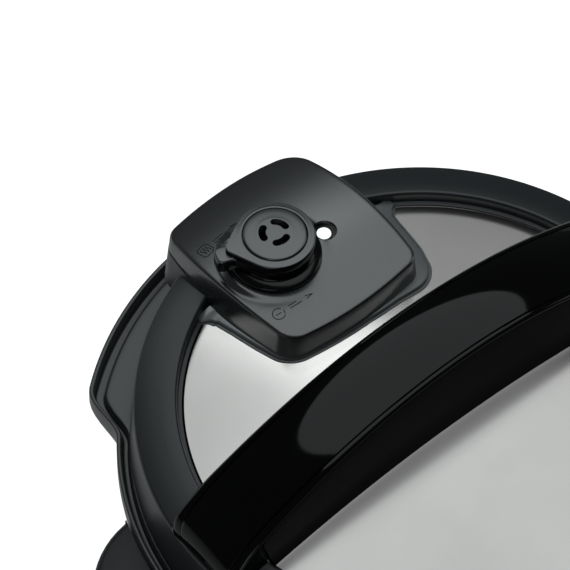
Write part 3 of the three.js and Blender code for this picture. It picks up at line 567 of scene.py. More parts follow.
def wire_ring(r, z, thickness, segments=160, sides=20):
    """A round wire bent into a ring of radius r at height z."""
    a = np.linspace(0, 2 * np.pi, sides, endpoint=False)
    return woven(turn(np.stack([r + thickness * np.cos(a), z + thickness * np.sin(a)], 1), segments))


element_steel = grain(plain("element_steel", (0.2, 0.18, 0.17), 0.45, metallic=1.0), 300, 0.00001, 0.1, 0.25)
element = joined(wire_ring(62, 47.2, 4.2), *[bar(x - 2, x + 2, -64, -60, 34, 46) for x in (-7, 7)])
make("ring_element", element, base_origin, element_steel, "base", "heating_element")
SENSOR_CAP = rounded([(0, 38, 0), (3, 38, 0.5), (3, 58, 0.5), (12, 58, 0.6), (12, 64.6, 0.8),
                      (10.6, 65.9, 0.8), (0, 65.9, 0)])
make("sensor_cap", woven(turn(SENSOR_CAP, 96)), base_origin, well_metal, "sensor", "temperature_sensor")
small_steel = grain(plain("small_steel", (0.55, 0.55, 0.56), 0.28, metallic=1.0), 500, 0.000004, 0.08, 0.06)
board_green = grain(plain("board_green", (0.02, 0.09, 0.035), 0.5), 400, 0.00003, 0.08, 0.3)
switch_black = satin("switch_black", (0.03, 0.03, 0.03), 0.5)
for node, material in (("sensor_bracket", small_steel), ("sensor_spring", small_steel),
                       ("thermal_fuse", small_steel), ("power_board", board_green),
                       ("control_board", board_green), ("pressure_switch", switch_black)):
    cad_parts[node].data.materials.clear()
    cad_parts[node].data.materials.append(material)

# ---------------------------------------------------------------- locking ring
# A pressed stainless ring screwed down over the well's flange. Its six inward teeth hold the
# lugs of the lid when the lid is turned shut.
ring_steel = brushed("locking_steel", (0.66, 0.66, 0.67), 0.24, (0.4, 0.4, 30))
LOCK_FOOT, LOCK_TOP = (value.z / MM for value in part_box("locking_ring"))


def sector(r0, r1, centre, half, z0, z1, edge=0.5, steps=12):
    """A piece of a ring between two radii and two angles, in degrees, with softened upper edges."""
    a = np.radians(np.linspace(centre - half, centre + half, steps))
    arc = np.stack([np.cos(a), np.sin(a)], 1)
    outline = np.concatenate([arc * r1, (arc * r0)[::-1]])
    return slab(outline, [(0, z0), (0, z1 - edge), (edge, z1)])


LOCK = rounded([
    (119.4, LOCK_FOOT, 0.3), (126, LOCK_FOOT, 0.8), (126, LOCK_TOP, 0.5), (124.6, LOCK_TOP, 0.5),
    (124.6, LOCK_FOOT + 1.5, 0.8), (119.4, LOCK_FOOT + 1.5, 0.3),
])
teeth = [sector(118.9, 125.2, i * 60, 13.5, LOCK_TOP - 2.4, LOCK_TOP) for i in range(6)]
make("locking_ring_pressed", joined(woven(turn(LOCK, 240)), *teeth), base_origin, ring_steel, "base",
     "locking_ring")

# ---------------------------------------------------------------- control panel
# A piano black moulding curved to the sleeve, with a rounded outline and openings for the display
# and ten keys. The white lines and pictures are printed on it.
piano_black = grain(plain("panel_black", (0.006, 0.006, 0.007), 0.09, level=0.5), 40, 0.000002, 0.03, 0.2)
PANEL_HALF, PANEL_LOW, PANEL_HIGH, PANEL_CORNER, PANEL_R, PANEL_Y = 68, 68, 194, 22, 140, 2
PANEL_HALF_HIGH, PANEL_WALL, SLEEVE_ROOM = (PANEL_HIGH - PANEL_LOW) / 2, 2.6, 130.5


def front(x, depth):
    """The panel's face: y on a cylinder of radius 140, set back by depth."""
    return PANEL_Y - np.sqrt((PANEL_R - depth) ** 2 - x**2)


def lofted(rows):
    """A closed shape from rings of points, all of the same length, with a flat face on its ends."""
    return woven(np.stack(rows), cap=True)


def raised(x, y, z):
    """Rows of points from their three coordinates."""
    return np.stack([x, y, z], 1)


def panel_shape():
    """Rings of the rounded rectangle: from the middle of the face outwards, over a rounded edge, back to
    the sleeve and in again across the hollow rear."""
    corners = lozenge(PANEL_HALF, PANEL_HALF_HIGH, PANEL_CORNER, 14)
    fine = np.linspace(0, 1, len(corners) * 3, endpoint=False) * len(corners)
    at = np.arange(len(corners) + 1)
    x, z = (np.interp(fine, at, np.append(line, line[0])) for line in corners.T)
    centre = (PANEL_HIGH + PANEL_LOW) / 2
    rows = [raised(x * share, front(x * share, 0), z * share + centre)
            for share in (0.004, 0.1, 0.22, 0.34, 0.46, 0.58, 0.7, 0.8, 0.88, 0.94)]
    for inset, depth in ((2.6, 0), (1.6, 0.3), (0.8, 0.9), (0.25, 1.8), (0, 3.0)):
        kx, kz = 1 - inset / PANEL_HALF, 1 - inset / PANEL_HALF_HIGH
        rows.append(raised(x * kx, front(x * kx, depth), z * kz + centre))
    for share in (1, 0.96, 0.9):
        rows.append(raised(x * share, -np.sqrt(SLEEVE_ROOM**2 - (x * share) ** 2), z * share + centre))
    for share in (0.9, 0.7, 0.46, 0.22, 0.004):
        rows.append(raised(x * share, front(x * share, PANEL_WALL), z * share + centre))
    return lofted(rows)


panel = make("control_panel_moulding", panel_shape(), base_origin, piano_black, "base", "control_panel")
KEYS = {  # angle round the pot's axis from the front, height, half width, half height
    "key_pressure_cook": (-19, 168, 13, 6), "key_rice": (-19, 146, 13, 6), "key_soup": (-19, 124, 13, 6),
    "key_saute": (19, 168, 13, 6), "key_slow_cook": (19, 146, 13, 6), "key_keep_warm": (19, 124, 13, 6),
    "key_minus": (-4.6, 132, 8, 5), "key_plus": (4.6, 132, 8, 5),
    "key_cancel": (-8, 100, 15, 7), "key_start": (8, 100, 15, 7),
}
KEY_FRONT, KEY_DEPTH, KEY_GAP = 138.9, 4.0, 0.4
ROOM_FLOOR, ROOM_DEPTH = 12, 18


def upright(shape):
    """Stands a shape drawn in x and y up, so that its y becomes height and its height faces the front."""
    points, faces = shape
    return points[:, [0, 2, 1]] * (1, -1, 1), faces


def key_block(half_x, half_z, grow, depth, crown=0.5):
    """A key with a rounded outline; its front edge is rounded over by crown."""
    corner = min(half_z - 1, 4)
    outline = lozenge(half_x + grow, half_z + grow, corner, 5)
    rows = [(crown, 0), (0, crown), (0, depth - crown), (crown * 0.35, depth - crown * 0.35),
            (crown, depth)]
    return upright(slab(outline, rows))


openings = [moved(key_block(half_x, half_z, KEY_GAP, ROOM_DEPTH), (0, ROOM_FLOOR - KEY_FRONT, z), angle)
            for angle, z, half_x, half_z in KEYS.values()]
DISPLAY_HALF, DISPLAY_LOW, DISPLAY_HIGH, DISPLAY_GAP = 21, 146, 176, 0.35
DISPLAY_Z = (DISPLAY_LOW + DISPLAY_HIGH) / 2
display_hole = lozenge(DISPLAY_HALF + DISPLAY_GAP, (DISPLAY_HIGH - DISPLAY_LOW) / 2 + DISPLAY_GAP, 4, 5)
openings.append(moved(upright(slab(display_hole, [(0, 100), (0, 150)])), (0, 0, DISPLAY_Z)))
drilled(panel, openings, base_origin, 30)


PRINT_SINK = 0.3


def strokes(lines, width, lift=0.12):
    """Flat marks drawn in u and v: each line is a run of points given a width. Every segment is its own
    small closed slab with round corners, sunk in a little and raised by lift."""
    shapes = []
    for line in lines:
        path = np.array(line, float)
        for start, end in zip(path[:-1], path[1:]):
            along = end - start
            length = max(np.linalg.norm(along), 1e-6)
            along = along / length
            ring = lozenge(length / 2 + width / 2, width / 2, width * 0.45, 3)
            across = np.array([-along[1], along[0]])
            outline = (start + end) / 2 + ring[:, :1] * along + ring[:, 1:] * across
            shapes.append(slab(outline, [(0, -PRINT_SINK), (0, lift)]))
    return joined(*shapes)


def arc(u, v, r, start, end, steps=10):
    """Points of a round arc between two angles, in degrees."""
    a = np.radians(np.linspace(start, end, steps))
    return np.stack([u + r * np.cos(a), v + r * np.sin(a)], 1)


def wave(u, v, height, swing=0.5, steps=9):
    """An upright wavy line, like rising steam."""
    t = np.linspace(0, 1, steps)
    return np.stack([u + swing * np.sin(t * 2 * np.pi), v + height * t], 1)


PICTURES = {
    "key_pressure_cook": [
        [(-3, 1.2), (-2.6, -2.8), (2.6, -2.8), (3, 1.2)], [(-3.6, 1.2), (3.6, 1.2)],
        arc(0, 1.2, 2.4, 0, 180), [(0, 3.4), (0, 4.2)],
    ],
    "key_rice": [arc(0, 0.4, 3.4, 180, 360), [(-3.9, 0.4), (3.9, 0.4)], arc(0, 0.6, 2.3, 0, 180)],
    "key_soup": [arc(0, 0, 3.4, 180, 360), [(-3.9, 0), (3.9, 0)], wave(-1.4, 1, 3), wave(1.4, 1, 3)],
    "key_saute": [
        [(-3.6, 0.8), (-2.8, -1.6), (1.6, -1.6), (2.4, 0.8), (-3.6, 0.8)], [(2.4, 0.6), (5.6, 1.8)],
    ],
    "key_slow_cook": [arc(0, 0.2, 3.4, 0, 360, 20), [(0, 2.4), (0, 0.2), (1.8, -0.8)]],
    "key_keep_warm": [wave(-2.4, -2.4, 5, 0.7), wave(0, -2.4, 5, 0.7), wave(2.4, -2.4, 5, 0.7)],
    "key_minus": [[(-2, 0), (2, 0)]],
    "key_plus": [[(-2, 0), (2, 0)], [(0, -2), (0, 2)]],
    "key_cancel": [arc(0, 0, 3.2, 120, 420, 18), [(0, 1.4), (0, 4)]],
    "key_start": [[(-1.8, 2.6), (2.8, 0), (-1.8, -2.6), (-1.8, 2.6)]],
}
PICTURE_LINE, DIGIT_LINE = 0.55, 0.8
key_grey = satin("key_grey", (0.045, 0.047, 0.05), 0.4)
print_white = grain(plain("print_white", (0.75, 0.76, 0.78), 0.55), 800, 0.0, 0.05, 0.04)
for name, (angle, z, half_x, half_z) in KEYS.items():
    cap = key_block(half_x, half_z, 0, KEY_DEPTH)
    body = name + "_body"
    place = (0, -(KEY_FRONT - KEY_DEPTH), z)
    make(name + "_cap", moved(cap, place, angle), base_origin, key_grey, body, name)
    picture = upright(strokes(PICTURES[name], PICTURE_LINE))
    make(name + "_mark", moved(picture, (0, -KEY_FRONT, z), angle), base_origin, print_white, body)

# ---------------------------------------------------------------- display
# A dark acrylic lens, moulded to the panel's curve and glued into its opening. A blue clock of four
# digits is lit behind it, and stands a little proud here so that it shows.
display_glass = grain(plain("display_glass", (0.004, 0.005, 0.007), 0.06, coat=0.5), 60, 0.0, 0.02, 0.2)


def lens_shape(half_x, low, high, corner, top, thickness):
    """A curved pane: rings of its rounded outline over its face, round its edge and over its back."""
    x, z = lozenge(half_x, (high - low) / 2, corner, 8).T
    centre = (low + high) / 2
    faces = [(share, top) for share in (0.01, 0.3, 0.6, 0.85, 0.975)] + [(1.0, top + 0.4)]
    backs = [(1.0, top + thickness)] + [(share, top + thickness) for share in (0.6, 0.3, 0.01)]
    return lofted([raised(x * s, front(x * s, depth), z * s + centre) for s, depth in faces + backs])


make("display_lens", lens_shape(DISPLAY_HALF, DISPLAY_LOW, DISPLAY_HIGH, 3.6, 0.2, 2.8), base_origin,
     display_glass, "base", "display_window")
DIGIT_SCALE = (2.1, 2.8)
SEGMENTS = {"a": [(-1, 2), (1, 2)], "b": [(1, 2), (1, 0)], "c": [(1, 0), (1, -2)], "d": [(-1, -2), (1, -2)],
            "e": [(-1, 0), (-1, -2)], "f": [(-1, 2), (-1, 0)], "g": [(-1, 0), (1, 0)]}
CLOCK = ((-11.4, "abcdef"), (-4.6, "abcdef"), (4.6, "abcdg"), (11.4, "abcdef"))
digits = []
for u, shown in CLOCK:
    for segment in shown:
        (u0, v0), (u1, v1) = (np.array(p) * DIGIT_SCALE for p in SEGMENTS[segment])
        run = np.array([(u1 - u0), (v1 - v0)])
        gap = 0.5 * run / np.linalg.norm(run)
        digits.append([(u + u0 + gap[0], v0 + gap[1]), (u + u1 - gap[0], v1 - gap[1])])
digits += [[(0, 1.5), (0, 1.7)], [(0, -1.7), (0, -1.5)]]
display_blue = grain(plain("display_blue", (0.3, 0.62, 0.8), 0.4), 900, 0.0, 0.05, 0.1)
lit = display_blue.node_tree.nodes["Principled BSDF"].inputs
lit["Emission Color"].default_value = (0.35, 0.75, 1, 1)
lit["Emission Strength"].default_value = 1.2
clock_points, clock_faces = upright(strokes(digits, DIGIT_LINE, 0.1))
clock_points = clock_points + (0, 0, DISPLAY_Z)
clock_points[:, 1] += front(clock_points[:, 0], 0.2)
make("display_clock", (clock_points, clock_faces), base_origin, display_blue, "base")

# ---------------------------------------------------------------- appliance inlet
# A three-blade inlet of black moulded plastic, snapped into the rear wall of the bottom cover. Its
# plated blades stand in a recessed socket that faces the rear.
inlet_black = satin("inlet_black", (0.02, 0.02, 0.021), 0.5)
INLET_FACE = 128.6
inlet_low, inlet_high = (value.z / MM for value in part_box("power_inlet"))


def backwards(shape):
    """Stands a shape drawn in x and y up, so that its y becomes height and its height faces the rear."""
    points, faces = shape
    return points[:, [0, 2, 1]], faces


INLET_BODY = [(0, INLET_FACE - 32), (0, INLET_FACE - 0.8), (0.8, INLET_FACE)]
inlet_shape = backwards(slab(lozenge(15, (inlet_high - inlet_low) / 2, 1.4, 4), INLET_BODY))
inlet = make("inlet_body", moved(inlet_shape, (0, 0, inlet_z)), base_origin, inlet_black, "base",
             "power_inlet")
MOUTH = rounded([(-12, 25, 1), (12, 25, 1), (12, 36, 1), (7.5, 41, 1), (-7.5, 41, 1), (-12, 36, 1)], 3)
drilled(inlet, [backwards(slab(MOUTH, [(0, INLET_FACE - 17), (0, INLET_FACE + 2)]))], base_origin)
blades = [bar(x - 1, x + 1, INLET_FACE - 18, INLET_FACE - 4.5, z - 2, z + 2, 0.5)
          for x, z in ((-7, 30), (7, 30), (0, 35))]
make("inlet_blades", joined(*blades), base_origin, small_steel, "base")

# ---------------------------------------------------------------- condensation collector
# A clear moulded cup that hangs by two lips in the arms of a black bracket on the rear of the
# sleeve. It catches what drips through the drain in the rim, and slides out backwards.
cup_low, cup_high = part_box("condensation_collector")
CUP_LOW, CUP_TOP = cup_low.z / MM, cup_high.z / MM
CUP_HALF, CUP_FRONT, CUP_REAR, CUP_WALL = 26, 138, 153, 1.6
bracket_low, bracket_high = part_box("collector_bracket")
back_plate = bar(-38, 38, 131, 133.4, bracket_low.z / MM, bracket_high.z / MM, 0.7)


def arm_shape(side):
    """One arm: a C-shaped section, drawn across, carried from the plate to its open end."""
    section = np.array([(27, -5), (32.35, -5), (32.35, 5), (27, 5), (27, 2.6), (29.95, 2.6), (29.95, -2.6),
                        (27, -2.6)], float) * (side, 1) + (0, CUP_TOP - 1)
    return backwards(slab(section, [(0, 133), (0, 149.6), (0.3, 150)]))


make("collector_holder", joined(back_plate, arm_shape(-1), arm_shape(1)), base_origin, base_black, "base",
     "collector_bracket")
clear = plain("clear_plastic", (0.86, 0.9, 0.93), 0.12, ior=1.46)
clear.node_tree.nodes["Principled BSDF"].inputs["Transmission Weight"].default_value = 0.85
grain(clear, 120, 0.000004, 0.05, 0.03)
cup_outline = rounded([(-CUP_HALF, CUP_FRONT, 0.6), (CUP_HALF, CUP_FRONT, 0.6), (CUP_HALF, CUP_REAR, 8),
                       (-CUP_HALF, CUP_REAR, 8)], 8)
cup = slab(cup_outline, [
    (2.5, CUP_LOW), (0.8, CUP_LOW + 0.5), (0, CUP_LOW + 2.5), (0, CUP_TOP - 0.4), (0.4, CUP_TOP),
    (1.3, CUP_TOP), (CUP_WALL, CUP_TOP - 0.4), (CUP_WALL, CUP_LOW + 3.4), (2.6, CUP_LOW + 2),
    (4, CUP_LOW + CUP_WALL),
])
lips = [bar(min(a, b), max(a, b), CUP_FRONT + 1, 149, CUP_TOP - 2, CUP_TOP, 0.5)
        for a, b in ((25.2, 29.6), (-25.2, -29.6))]
make("collector_cup", joined(cup, *lips), base_origin, clear, "collector", "condensation_collector")
slide_white = grain(plain("slide_nylon", (0.55, 0.55, 0.53), 0.5), 600, 0.00001, 0.05, 0.05)
slide = [sector(127.8, 131, 180, 7, 224.6, 229, 0.4)]
slide += [sector(127.9, 130.9, 180 + side * 4.6, 1.6, 228, 233, 0.4, 5) for side in (-1, 1)]
make("position_slide", joined(*slide), base_origin, slide_white, "turn_slide", "lid_position_slide")

# ---------------------------------------------------------------- inner pot
# A drawn stainless pot with a rolled lip. It is polished, with a fine brushed grain that runs
# round its wall.
pot_steel = brushed("pot_steel", (0.7, 0.7, 0.71), 0.2, (0.5, 0.5, 40))
POT = rounded([
    (0, 66.3, 0), (95, 66.3, 5), (105, 68.6, 5), (110, 74, 4), (111, 80, 4), (111, 224, 3),
    (114.6, 225.6, 1.2), (114.8, 228, 0.9), (113.4, 229, 0.9), (110.8, 228.4, 1), (109.9, 226, 1),
    (109.9, 80.4, 4), (109, 74.8, 3), (104.4, 69.7, 4), (94.8, 67.4, 4), (0, 67.4, 0),
], 4)
make("inner_pot_drawn", woven(turn(POT, 240)), base_origin, pot_steel, "pot", "inner_pot")

# ---------------------------------------------------------------- steel lid
# A pressed dome of satin-polished stainless steel whose skirt goes down into the pot. Six lugs on
# the skirt catch under the teeth of the locking ring, and the fittings go through drilled holes.
DOME_RISE, DOME_EDGE, DOME_R, LID_SHEET = 12.0, -0.4, 109.0, 1.4
lid_origin = np.array([0, pot_axis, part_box("steel_lid")[1].z / MM - DOME_RISE])
knob_axis = middle("knob_cap")[:2] - lid_origin[:2]
float_axis = middle("float_pin")[:2] - lid_origin[:2]
HANDLE_SCREW, LUG_FOOT = 72, -31.4


def dome(r):
    """Height of the dome: it falls from its middle with the square of the radius."""
    return DOME_RISE - (DOME_RISE - DOME_EDGE) * (np.asarray(r, float) / DOME_R) ** 2


outside_r = np.linspace(0, DOME_R, 46)
inside_r = np.linspace(108.2, 0, 40)
LID_SKIRT = rounded([
    (111.5, -2.6, 1.5), (116, -4.2, 1), (118, -6.4, 1.5), (118, LUG_FOOT, 0.4), (116.6, LUG_FOOT, 0.4),
    (116.6, -7, 1.5), (115, -5.7, 1), (110.8, -4.1, 1.5),
], 4)
LID = np.concatenate([np.stack([outside_r, dome(outside_r)], 1), LID_SKIRT,
                      np.stack([inside_r, dome(inside_r) - LID_SHEET], 1)])
lugs = [sector(117.3, 123.6, 30 + i * 60, 13, LUG_FOOT, LUG_FOOT + 2.6) for i in range(6)]
dome_steel = grain(plain("dome_steel", (0.765, 0.725, 0.705), 0.2, metallic=1.0), 16, 0.0, 0.05, 0.06,
                   detail=4.0)
steel_lid = make("steel_lid_pressed", joined(woven(turn(LID, 288)), *lugs), lid_origin, dome_steel, "lid",
                 "steel_lid")


PIPE_HOLE_R, PIN_HOLE_R, SCREW_HOLE_R = 5.4, 3, 2.2
drilled(steel_lid, [moved(cylinder(r, -20, 20, 48), (x, y, 0)) for r, (x, y) in (
    (PIPE_HOLE_R, knob_axis), (PIN_HOLE_R, float_axis), (SCREW_HOLE_R, (-HANDLE_SCREW, 0)),
    (SCREW_HOLE_R, (HANDLE_SCREW, 0)),
)], lid_origin)
on_steel.objects.link(steel_lid)
leave_out(off_steel, steel_lid)

# ---------------------------------------------------------------- lid ring and surround
# A black moulding clipped round the steel: a sloping ring, and a skirt that drops at the rear. The
# valve housing stands in a low surround, a strip of its own with a groove and a bead at its edge.
HOUSING_Y, HOUSING_HALF_X, HOUSING_HALF_Y = 94.4, 41.5, 47.5
HOUSING_BOW, HOUSING_DRAFT, DRAWN_AT = 3.3, 0.095, 24
HOUSING_CORNERS = ((1, 1, 14.0), (-1, 1, 8.0), (-1, -1, 11.5), (1, -1, 8.0))  # which quarter, radius


def housing_quarter(radius, steps=400):
    """The first quarter of the outline with its normals. The corner's middle runs on two bowed lines,
    a parabola each, drawn in by the corner's radius; the outline lies that radius outside them."""
    a, b = HOUSING_HALF_X - radius, HOUSING_HALF_Y - radius
    x, y = a, b
    for _ in range(40):
        x, y = a - HOUSING_BOW * (y / b) ** 2, b - HOUSING_BOW * (x / a) ** 2
    up, back = np.linspace(0, y, steps), np.linspace(x, 0, steps)
    side = np.stack([np.ones(steps), 2 * HOUSING_BOW * up / b**2], 1)
    rear = np.stack([2 * HOUSING_BOW * back / a**2, np.ones(steps)], 1)
    turned = np.linspace(math.atan2(*side[-1][::-1]), math.atan2(*rear[0][::-1]), steps)
    normal = np.concatenate([side, np.stack([np.cos(turned), np.sin(turned)], 1), rear])
    normal /= np.linalg.norm(normal, axis=1, keepdims=True)
    middle_line = np.concatenate([
        np.stack([a - HOUSING_BOW * (up / b) ** 2, up], 1), np.tile((x, y), (steps, 1)),
        np.stack([back, b - HOUSING_BOW * (back / a) ** 2], 1),
    ])
    return middle_line + normal * radius, normal


TURN_WEIGHT = 22  # millimetres of length that one radian of turning counts for


def housing_outline(columns=420):
    """All four quarters, with the points spaced evenly by length plus a share of how much it turns."""
    points, normals = [], []
    for sx, sy, radius in HOUSING_CORNERS:
        quarter, normal = housing_quarter(radius)
        order = slice(None, None, sx * sy)
        points.append((quarter * (sx, sy))[order])
        normals.append((normal * (sx, sy))[order])
    points, normals = np.concatenate(points), np.concatenate(normals)
    heading = np.unwrap(np.arctan2(normals[:, 1], normals[:, 0]))
    weight = np.linalg.norm(np.diff(points, axis=0), axis=1) + TURN_WEIGHT * np.abs(np.diff(heading))
    run = np.concatenate([[0], np.cumsum(weight)])
    pick = np.linspace(0, run[-1], columns, endpoint=False)
    points = np.stack([np.interp(pick, run, line) for line in points.T], 1)
    normals = np.stack([np.interp(pick, run, line) for line in normals.T], 1)
    return points, normals / np.linalg.norm(normals, axis=1, keepdims=True)


OUTLINE, OUTWARD = housing_outline()


def housing_at(grow, z=DRAWN_AT):
    """The outline, drawn at one height, moved out along its normals: by grow, and by the draft for every
    millimetre that z is lower."""
    grow = np.asarray(grow, float) + HOUSING_DRAFT * (DRAWN_AT - np.asarray(z, float))
    return OUTLINE + OUTWARD * grow[..., None] + (0, HOUSING_Y)


RING = rounded([
    (109.9, -1.0, 0.2), (109.9, -0.2, 0.3), (111.9, 0.1, 0.4), (112.2, 5.0, 0.5), (113.2, 5.9, 0.9),
    (118, 5, 2.4), (125, 3, 3.4), (131.4, 0.6, 0.7), (132.0, -0.6, 0.6), (134.2, -27.8, 0.5),
    (131.8, -27.8, 0.5), (131.2, -12, 2), (129.6, -3.4, 2), (124, 0.2, 2), (113.9, 2.6, 1),
    (113.9, -1.0, 0.4),
], 6)
ring_black = satin("ring_black", (0.018, 0.021, 0.0245), 0.36, 0.8)
tab = [sector(128.4, 130.8, 180, 1.8, -32, -24, 0.3, 5), sector(130.4, 132.4, 180, 1.8, -27.6, -24, 0.3, 5)]


SURROUND_SECTION = [  # distance in from the outer edge, height over the dome
    (0.0, -0.5), (0.0, 0.6), (0.12, 0.85), (0.35, 0.95), (0.6, 0.85), (0.72, 0.6), (0.78, 0.2), (1.3, 0.2),
    (1.38, 0.9), (1.5, 1.6), (1.8, 2.0), (2.3, 2.2),
]
SURROUND_GROWTH = (  # angle from the front, seen from the housing's middle, and how far the edge is out
    (-115, 7.0), (-92, 4.6), (-74, 3.0), (-56, 2.2), (-41, 1.2), (-30, 1.1), (-20, 1.2), (5, 1.4),
    (25, 2.8), (36, 5.0), (44, 7.4), (52, 9.4), (74, 11.4), (88, 13.5), (105, 15.5),
)
RING_INSIDE, FILLET, SUNK, STRIP_END = 111.4, 4.5, -0.6, 114.5
STRIP_TOP, STRIP_LEAN, LIP_WIDE = 2.25, 0.24, 2.3


def surround():
    """The strip round the housing's foot, as far as the ring; its left part leans outwards. A round fillet
    leads its outer edge into the ring: the edge follows the circle that touches both."""
    foot = housing_at(SUNK, 4.0)
    seen_at = np.degrees(np.arctan2(OUTLINE[:, 0], -OUTLINE[:, 1]))
    grow = np.interp(seen_at, *np.transpose(SURROUND_GROWTH)) - SUNK
    edge = foot + OUTWARD * grow[:, None]
    for side in (-1, 1):
        near = (side * OUTLINE[:, 0] > 30) & (np.hypot(*edge.T) < RING_INSIDE)
        reach = np.max(side * edge[near][:, 0])
        cx = side * (reach + FILLET)
        cy = math.sqrt((RING_INSIDE - FILLET) ** 2 - cx**2)
        near = (side * OUTLINE[:, 0] > 0) & (edge[:, 1] > cy)
        up = np.clip(edge[near][:, 1] - cy, 0, FILLET * 0.999)
        edge[near, 0] = side * (reach + FILLET - np.sqrt(FILLET**2 - up**2))
    inside = np.hypot(*edge.T) < STRIP_END
    first = int(np.argmin(np.hypot(*(foot - (0, 160)).T)))
    order = np.roll(np.arange(len(foot)), -first)
    order = order[inside[order]]
    foot, edge = foot[order], edge[order]
    width = np.linalg.norm(edge - foot, axis=1)
    lean = STRIP_LEAN * np.clip(-OUTWARD[order, 0], 0, 1) * np.maximum(width - LIP_WIDE, 0)
    stations = []
    for inset, height in SURROUND_SECTION + [(None, STRIP_TOP + lean), (None, -0.5)]:
        share = np.ones(len(foot)) if inset is None else np.minimum(inset / width, 1)
        place = edge + (foot - edge) * share[:, None]
        z = dome(np.minimum(np.hypot(*place.T), 110.5)) + height
        stations.append(np.concatenate([place, z[:, None]], 1))
    return woven(np.stack(stations, 1), cap=True)


SKIRT_TOP, SKIRT_FOOT, SKIRT_WALL, SKIRT_FROM = 5.7, -16.0, 2.0, 114.0


def rear_skirt():
    """The ring's wall under the rear of the housing: the outline's rear part dropped from a flat upper
    edge to the gutter."""
    rows = []
    for grow, z in ((0.1, SKIRT_FOOT), (0.1, SKIRT_TOP - 0.5), (-0.3, SKIRT_TOP), (-SKIRT_WALL, SKIRT_TOP),
                    (-SKIRT_WALL, SKIRT_FOOT)):
        flat = housing_at(grow, z)
        rows.append(np.concatenate([flat, np.full((len(flat), 1), z)], 1))
    grid = np.stack(rows, 1)
    keep = np.hypot(*grid[:, 0, :2].T) > SKIRT_FROM
    first = int(np.argmin(grid[:, 0, 1]))
    order = np.roll(np.arange(len(grid)), -first)
    return woven(grid[order[keep[order]]], cap=True)


ring = make("lid_ring_moulding", joined(woven(turn(RING, 300)), rear_skirt(), *tab), lid_origin,
            ring_black, "lid", "lid_ring")
level_box("box_ring", 0.42, 1.85, (0.9, 0.8), 1.2, LOW_CEILING, pieces=group("lit_ring", ring),
          shades=no_shade)
# The strip is the same black plastic as the ring, but its base colour is a light grey: painted light,
# standing in for the light that falls on the flange beside the housing.
surround_black_painted_lit = satin("surround_black_painted_lit", (0.12, 0.128, 0.132), 0.4, 1.0, ior=1.6)
strip = make("lid_surround", surround(), lid_origin, surround_black_painted_lit, "lid")
level_box("box_surround", -0.25, 1.25, (0.8, 0.7), 3.0, LOW_CEILING, pieces=group("lit_surround", strip),
          shades=no_shade)

# ---------------------------------------------------------------- valve housing
# A satin black moulding screwed to the ring from inside. Its crowned top falls to the rear and
# swells into a low boss round the knob; the float shows through a hole beside it.
TOP_EDGE, HOUSING_WALL, FOOT_STEP = 1.3, 2.4, 112.4
TOP_HEIGHT, TOP_TILT, TOP_SAG, TOP_CROWN = 24.4, 0.12, 0.0024, 0.0008
BOSS_RISE, BOSS_FLAT, BOSS_FOOT, KNOB_BORE = 1.2, 22.6, 26.4, 12.8


def bare_top(x, y):
    """Height of the top without its boss: a slope and a parabola in y and a slight crown in x."""
    dy = y - HOUSING_Y
    return TOP_HEIGHT - TOP_TILT * dy - TOP_SAG * dy**2 - TOP_CROWN * x**2


def housing_top(x, y):
    """Height of the top. Round the knob it passes into a level boss by a smooth step between two radii."""
    slope, level = bare_top(x, y), bare_top(0, knob_axis[1]) + BOSS_RISE
    away = np.hypot(x - knob_axis[0], y - knob_axis[1])
    away = np.clip((BOSS_FOOT - away) / (BOSS_FOOT - BOSS_FLAT), 0, 1)
    boss = away * away * (3 - 2 * away)
    return slope * (1 - boss) + level * boss


def housing_surface():
    """Rings of the outline: out over the boss and the top, over the edge, down the drafted wall to a foot
    that follows the dome or stands on the skirt, and back inside up to the knob's bore."""
    rows = []

    def add(flat, z):
        """One more ring, at height z."""
        rows.append(np.concatenate([flat, np.broadcast_to(z, len(flat))[:, None]], 1))

    rim_line = housing_at(-TOP_EDGE)
    aim = rim_line - knob_axis
    bore = knob_axis + KNOB_BORE * aim / np.linalg.norm(aim, axis=1, keepdims=True)
    for share in np.concatenate([np.linspace(0, 0.3, 16), np.linspace(0.33, 0.94, 16), [0.97, 1.0]]):
        flat = bore + (rim_line - bore) * share
        add(flat, housing_top(*flat.T))
    crest = housing_top(*housing_at(0).T)
    for turned in np.radians([15, 32, 50, 70, 90]):
        z = crest - TOP_EDGE * (1 - np.cos(turned))
        add(housing_at(-TOP_EDGE * (1 - np.sin(turned)), z), z)
    r = np.hypot(*housing_at(0, 6).T)
    step = np.clip((r - FOOT_STEP) / 1.0, 0, 1)
    foot = (dome(np.minimum(r, 110)) + 0.3) * (1 - step) + (SKIRT_TOP + 0.25) * step
    for share in (0.25, 0.5, 0.75, 0.94, 1.0):
        z = (crest - TOP_EDGE) * (1 - share) + foot * share
        add(housing_at(-0.25 if share == 1 else 0.0, z), z)
    add(housing_at(-HOUSING_WALL, foot), foot)
    ceiling = crest - HOUSING_WALL - 1.2
    for share in (0.5, 1.0):
        z = foot * (1 - share) + ceiling * share
        add(housing_at(-HOUSING_WALL, z), z)
    inner_line = housing_at(-HOUSING_WALL - 1, ceiling)
    for share in (1.0, 0.6, 0.3, 0.0):
        flat = bore + (inner_line - bore) * share
        add(flat, housing_top(*flat.T) - HOUSING_WALL)
    return woven(np.stack(rows))


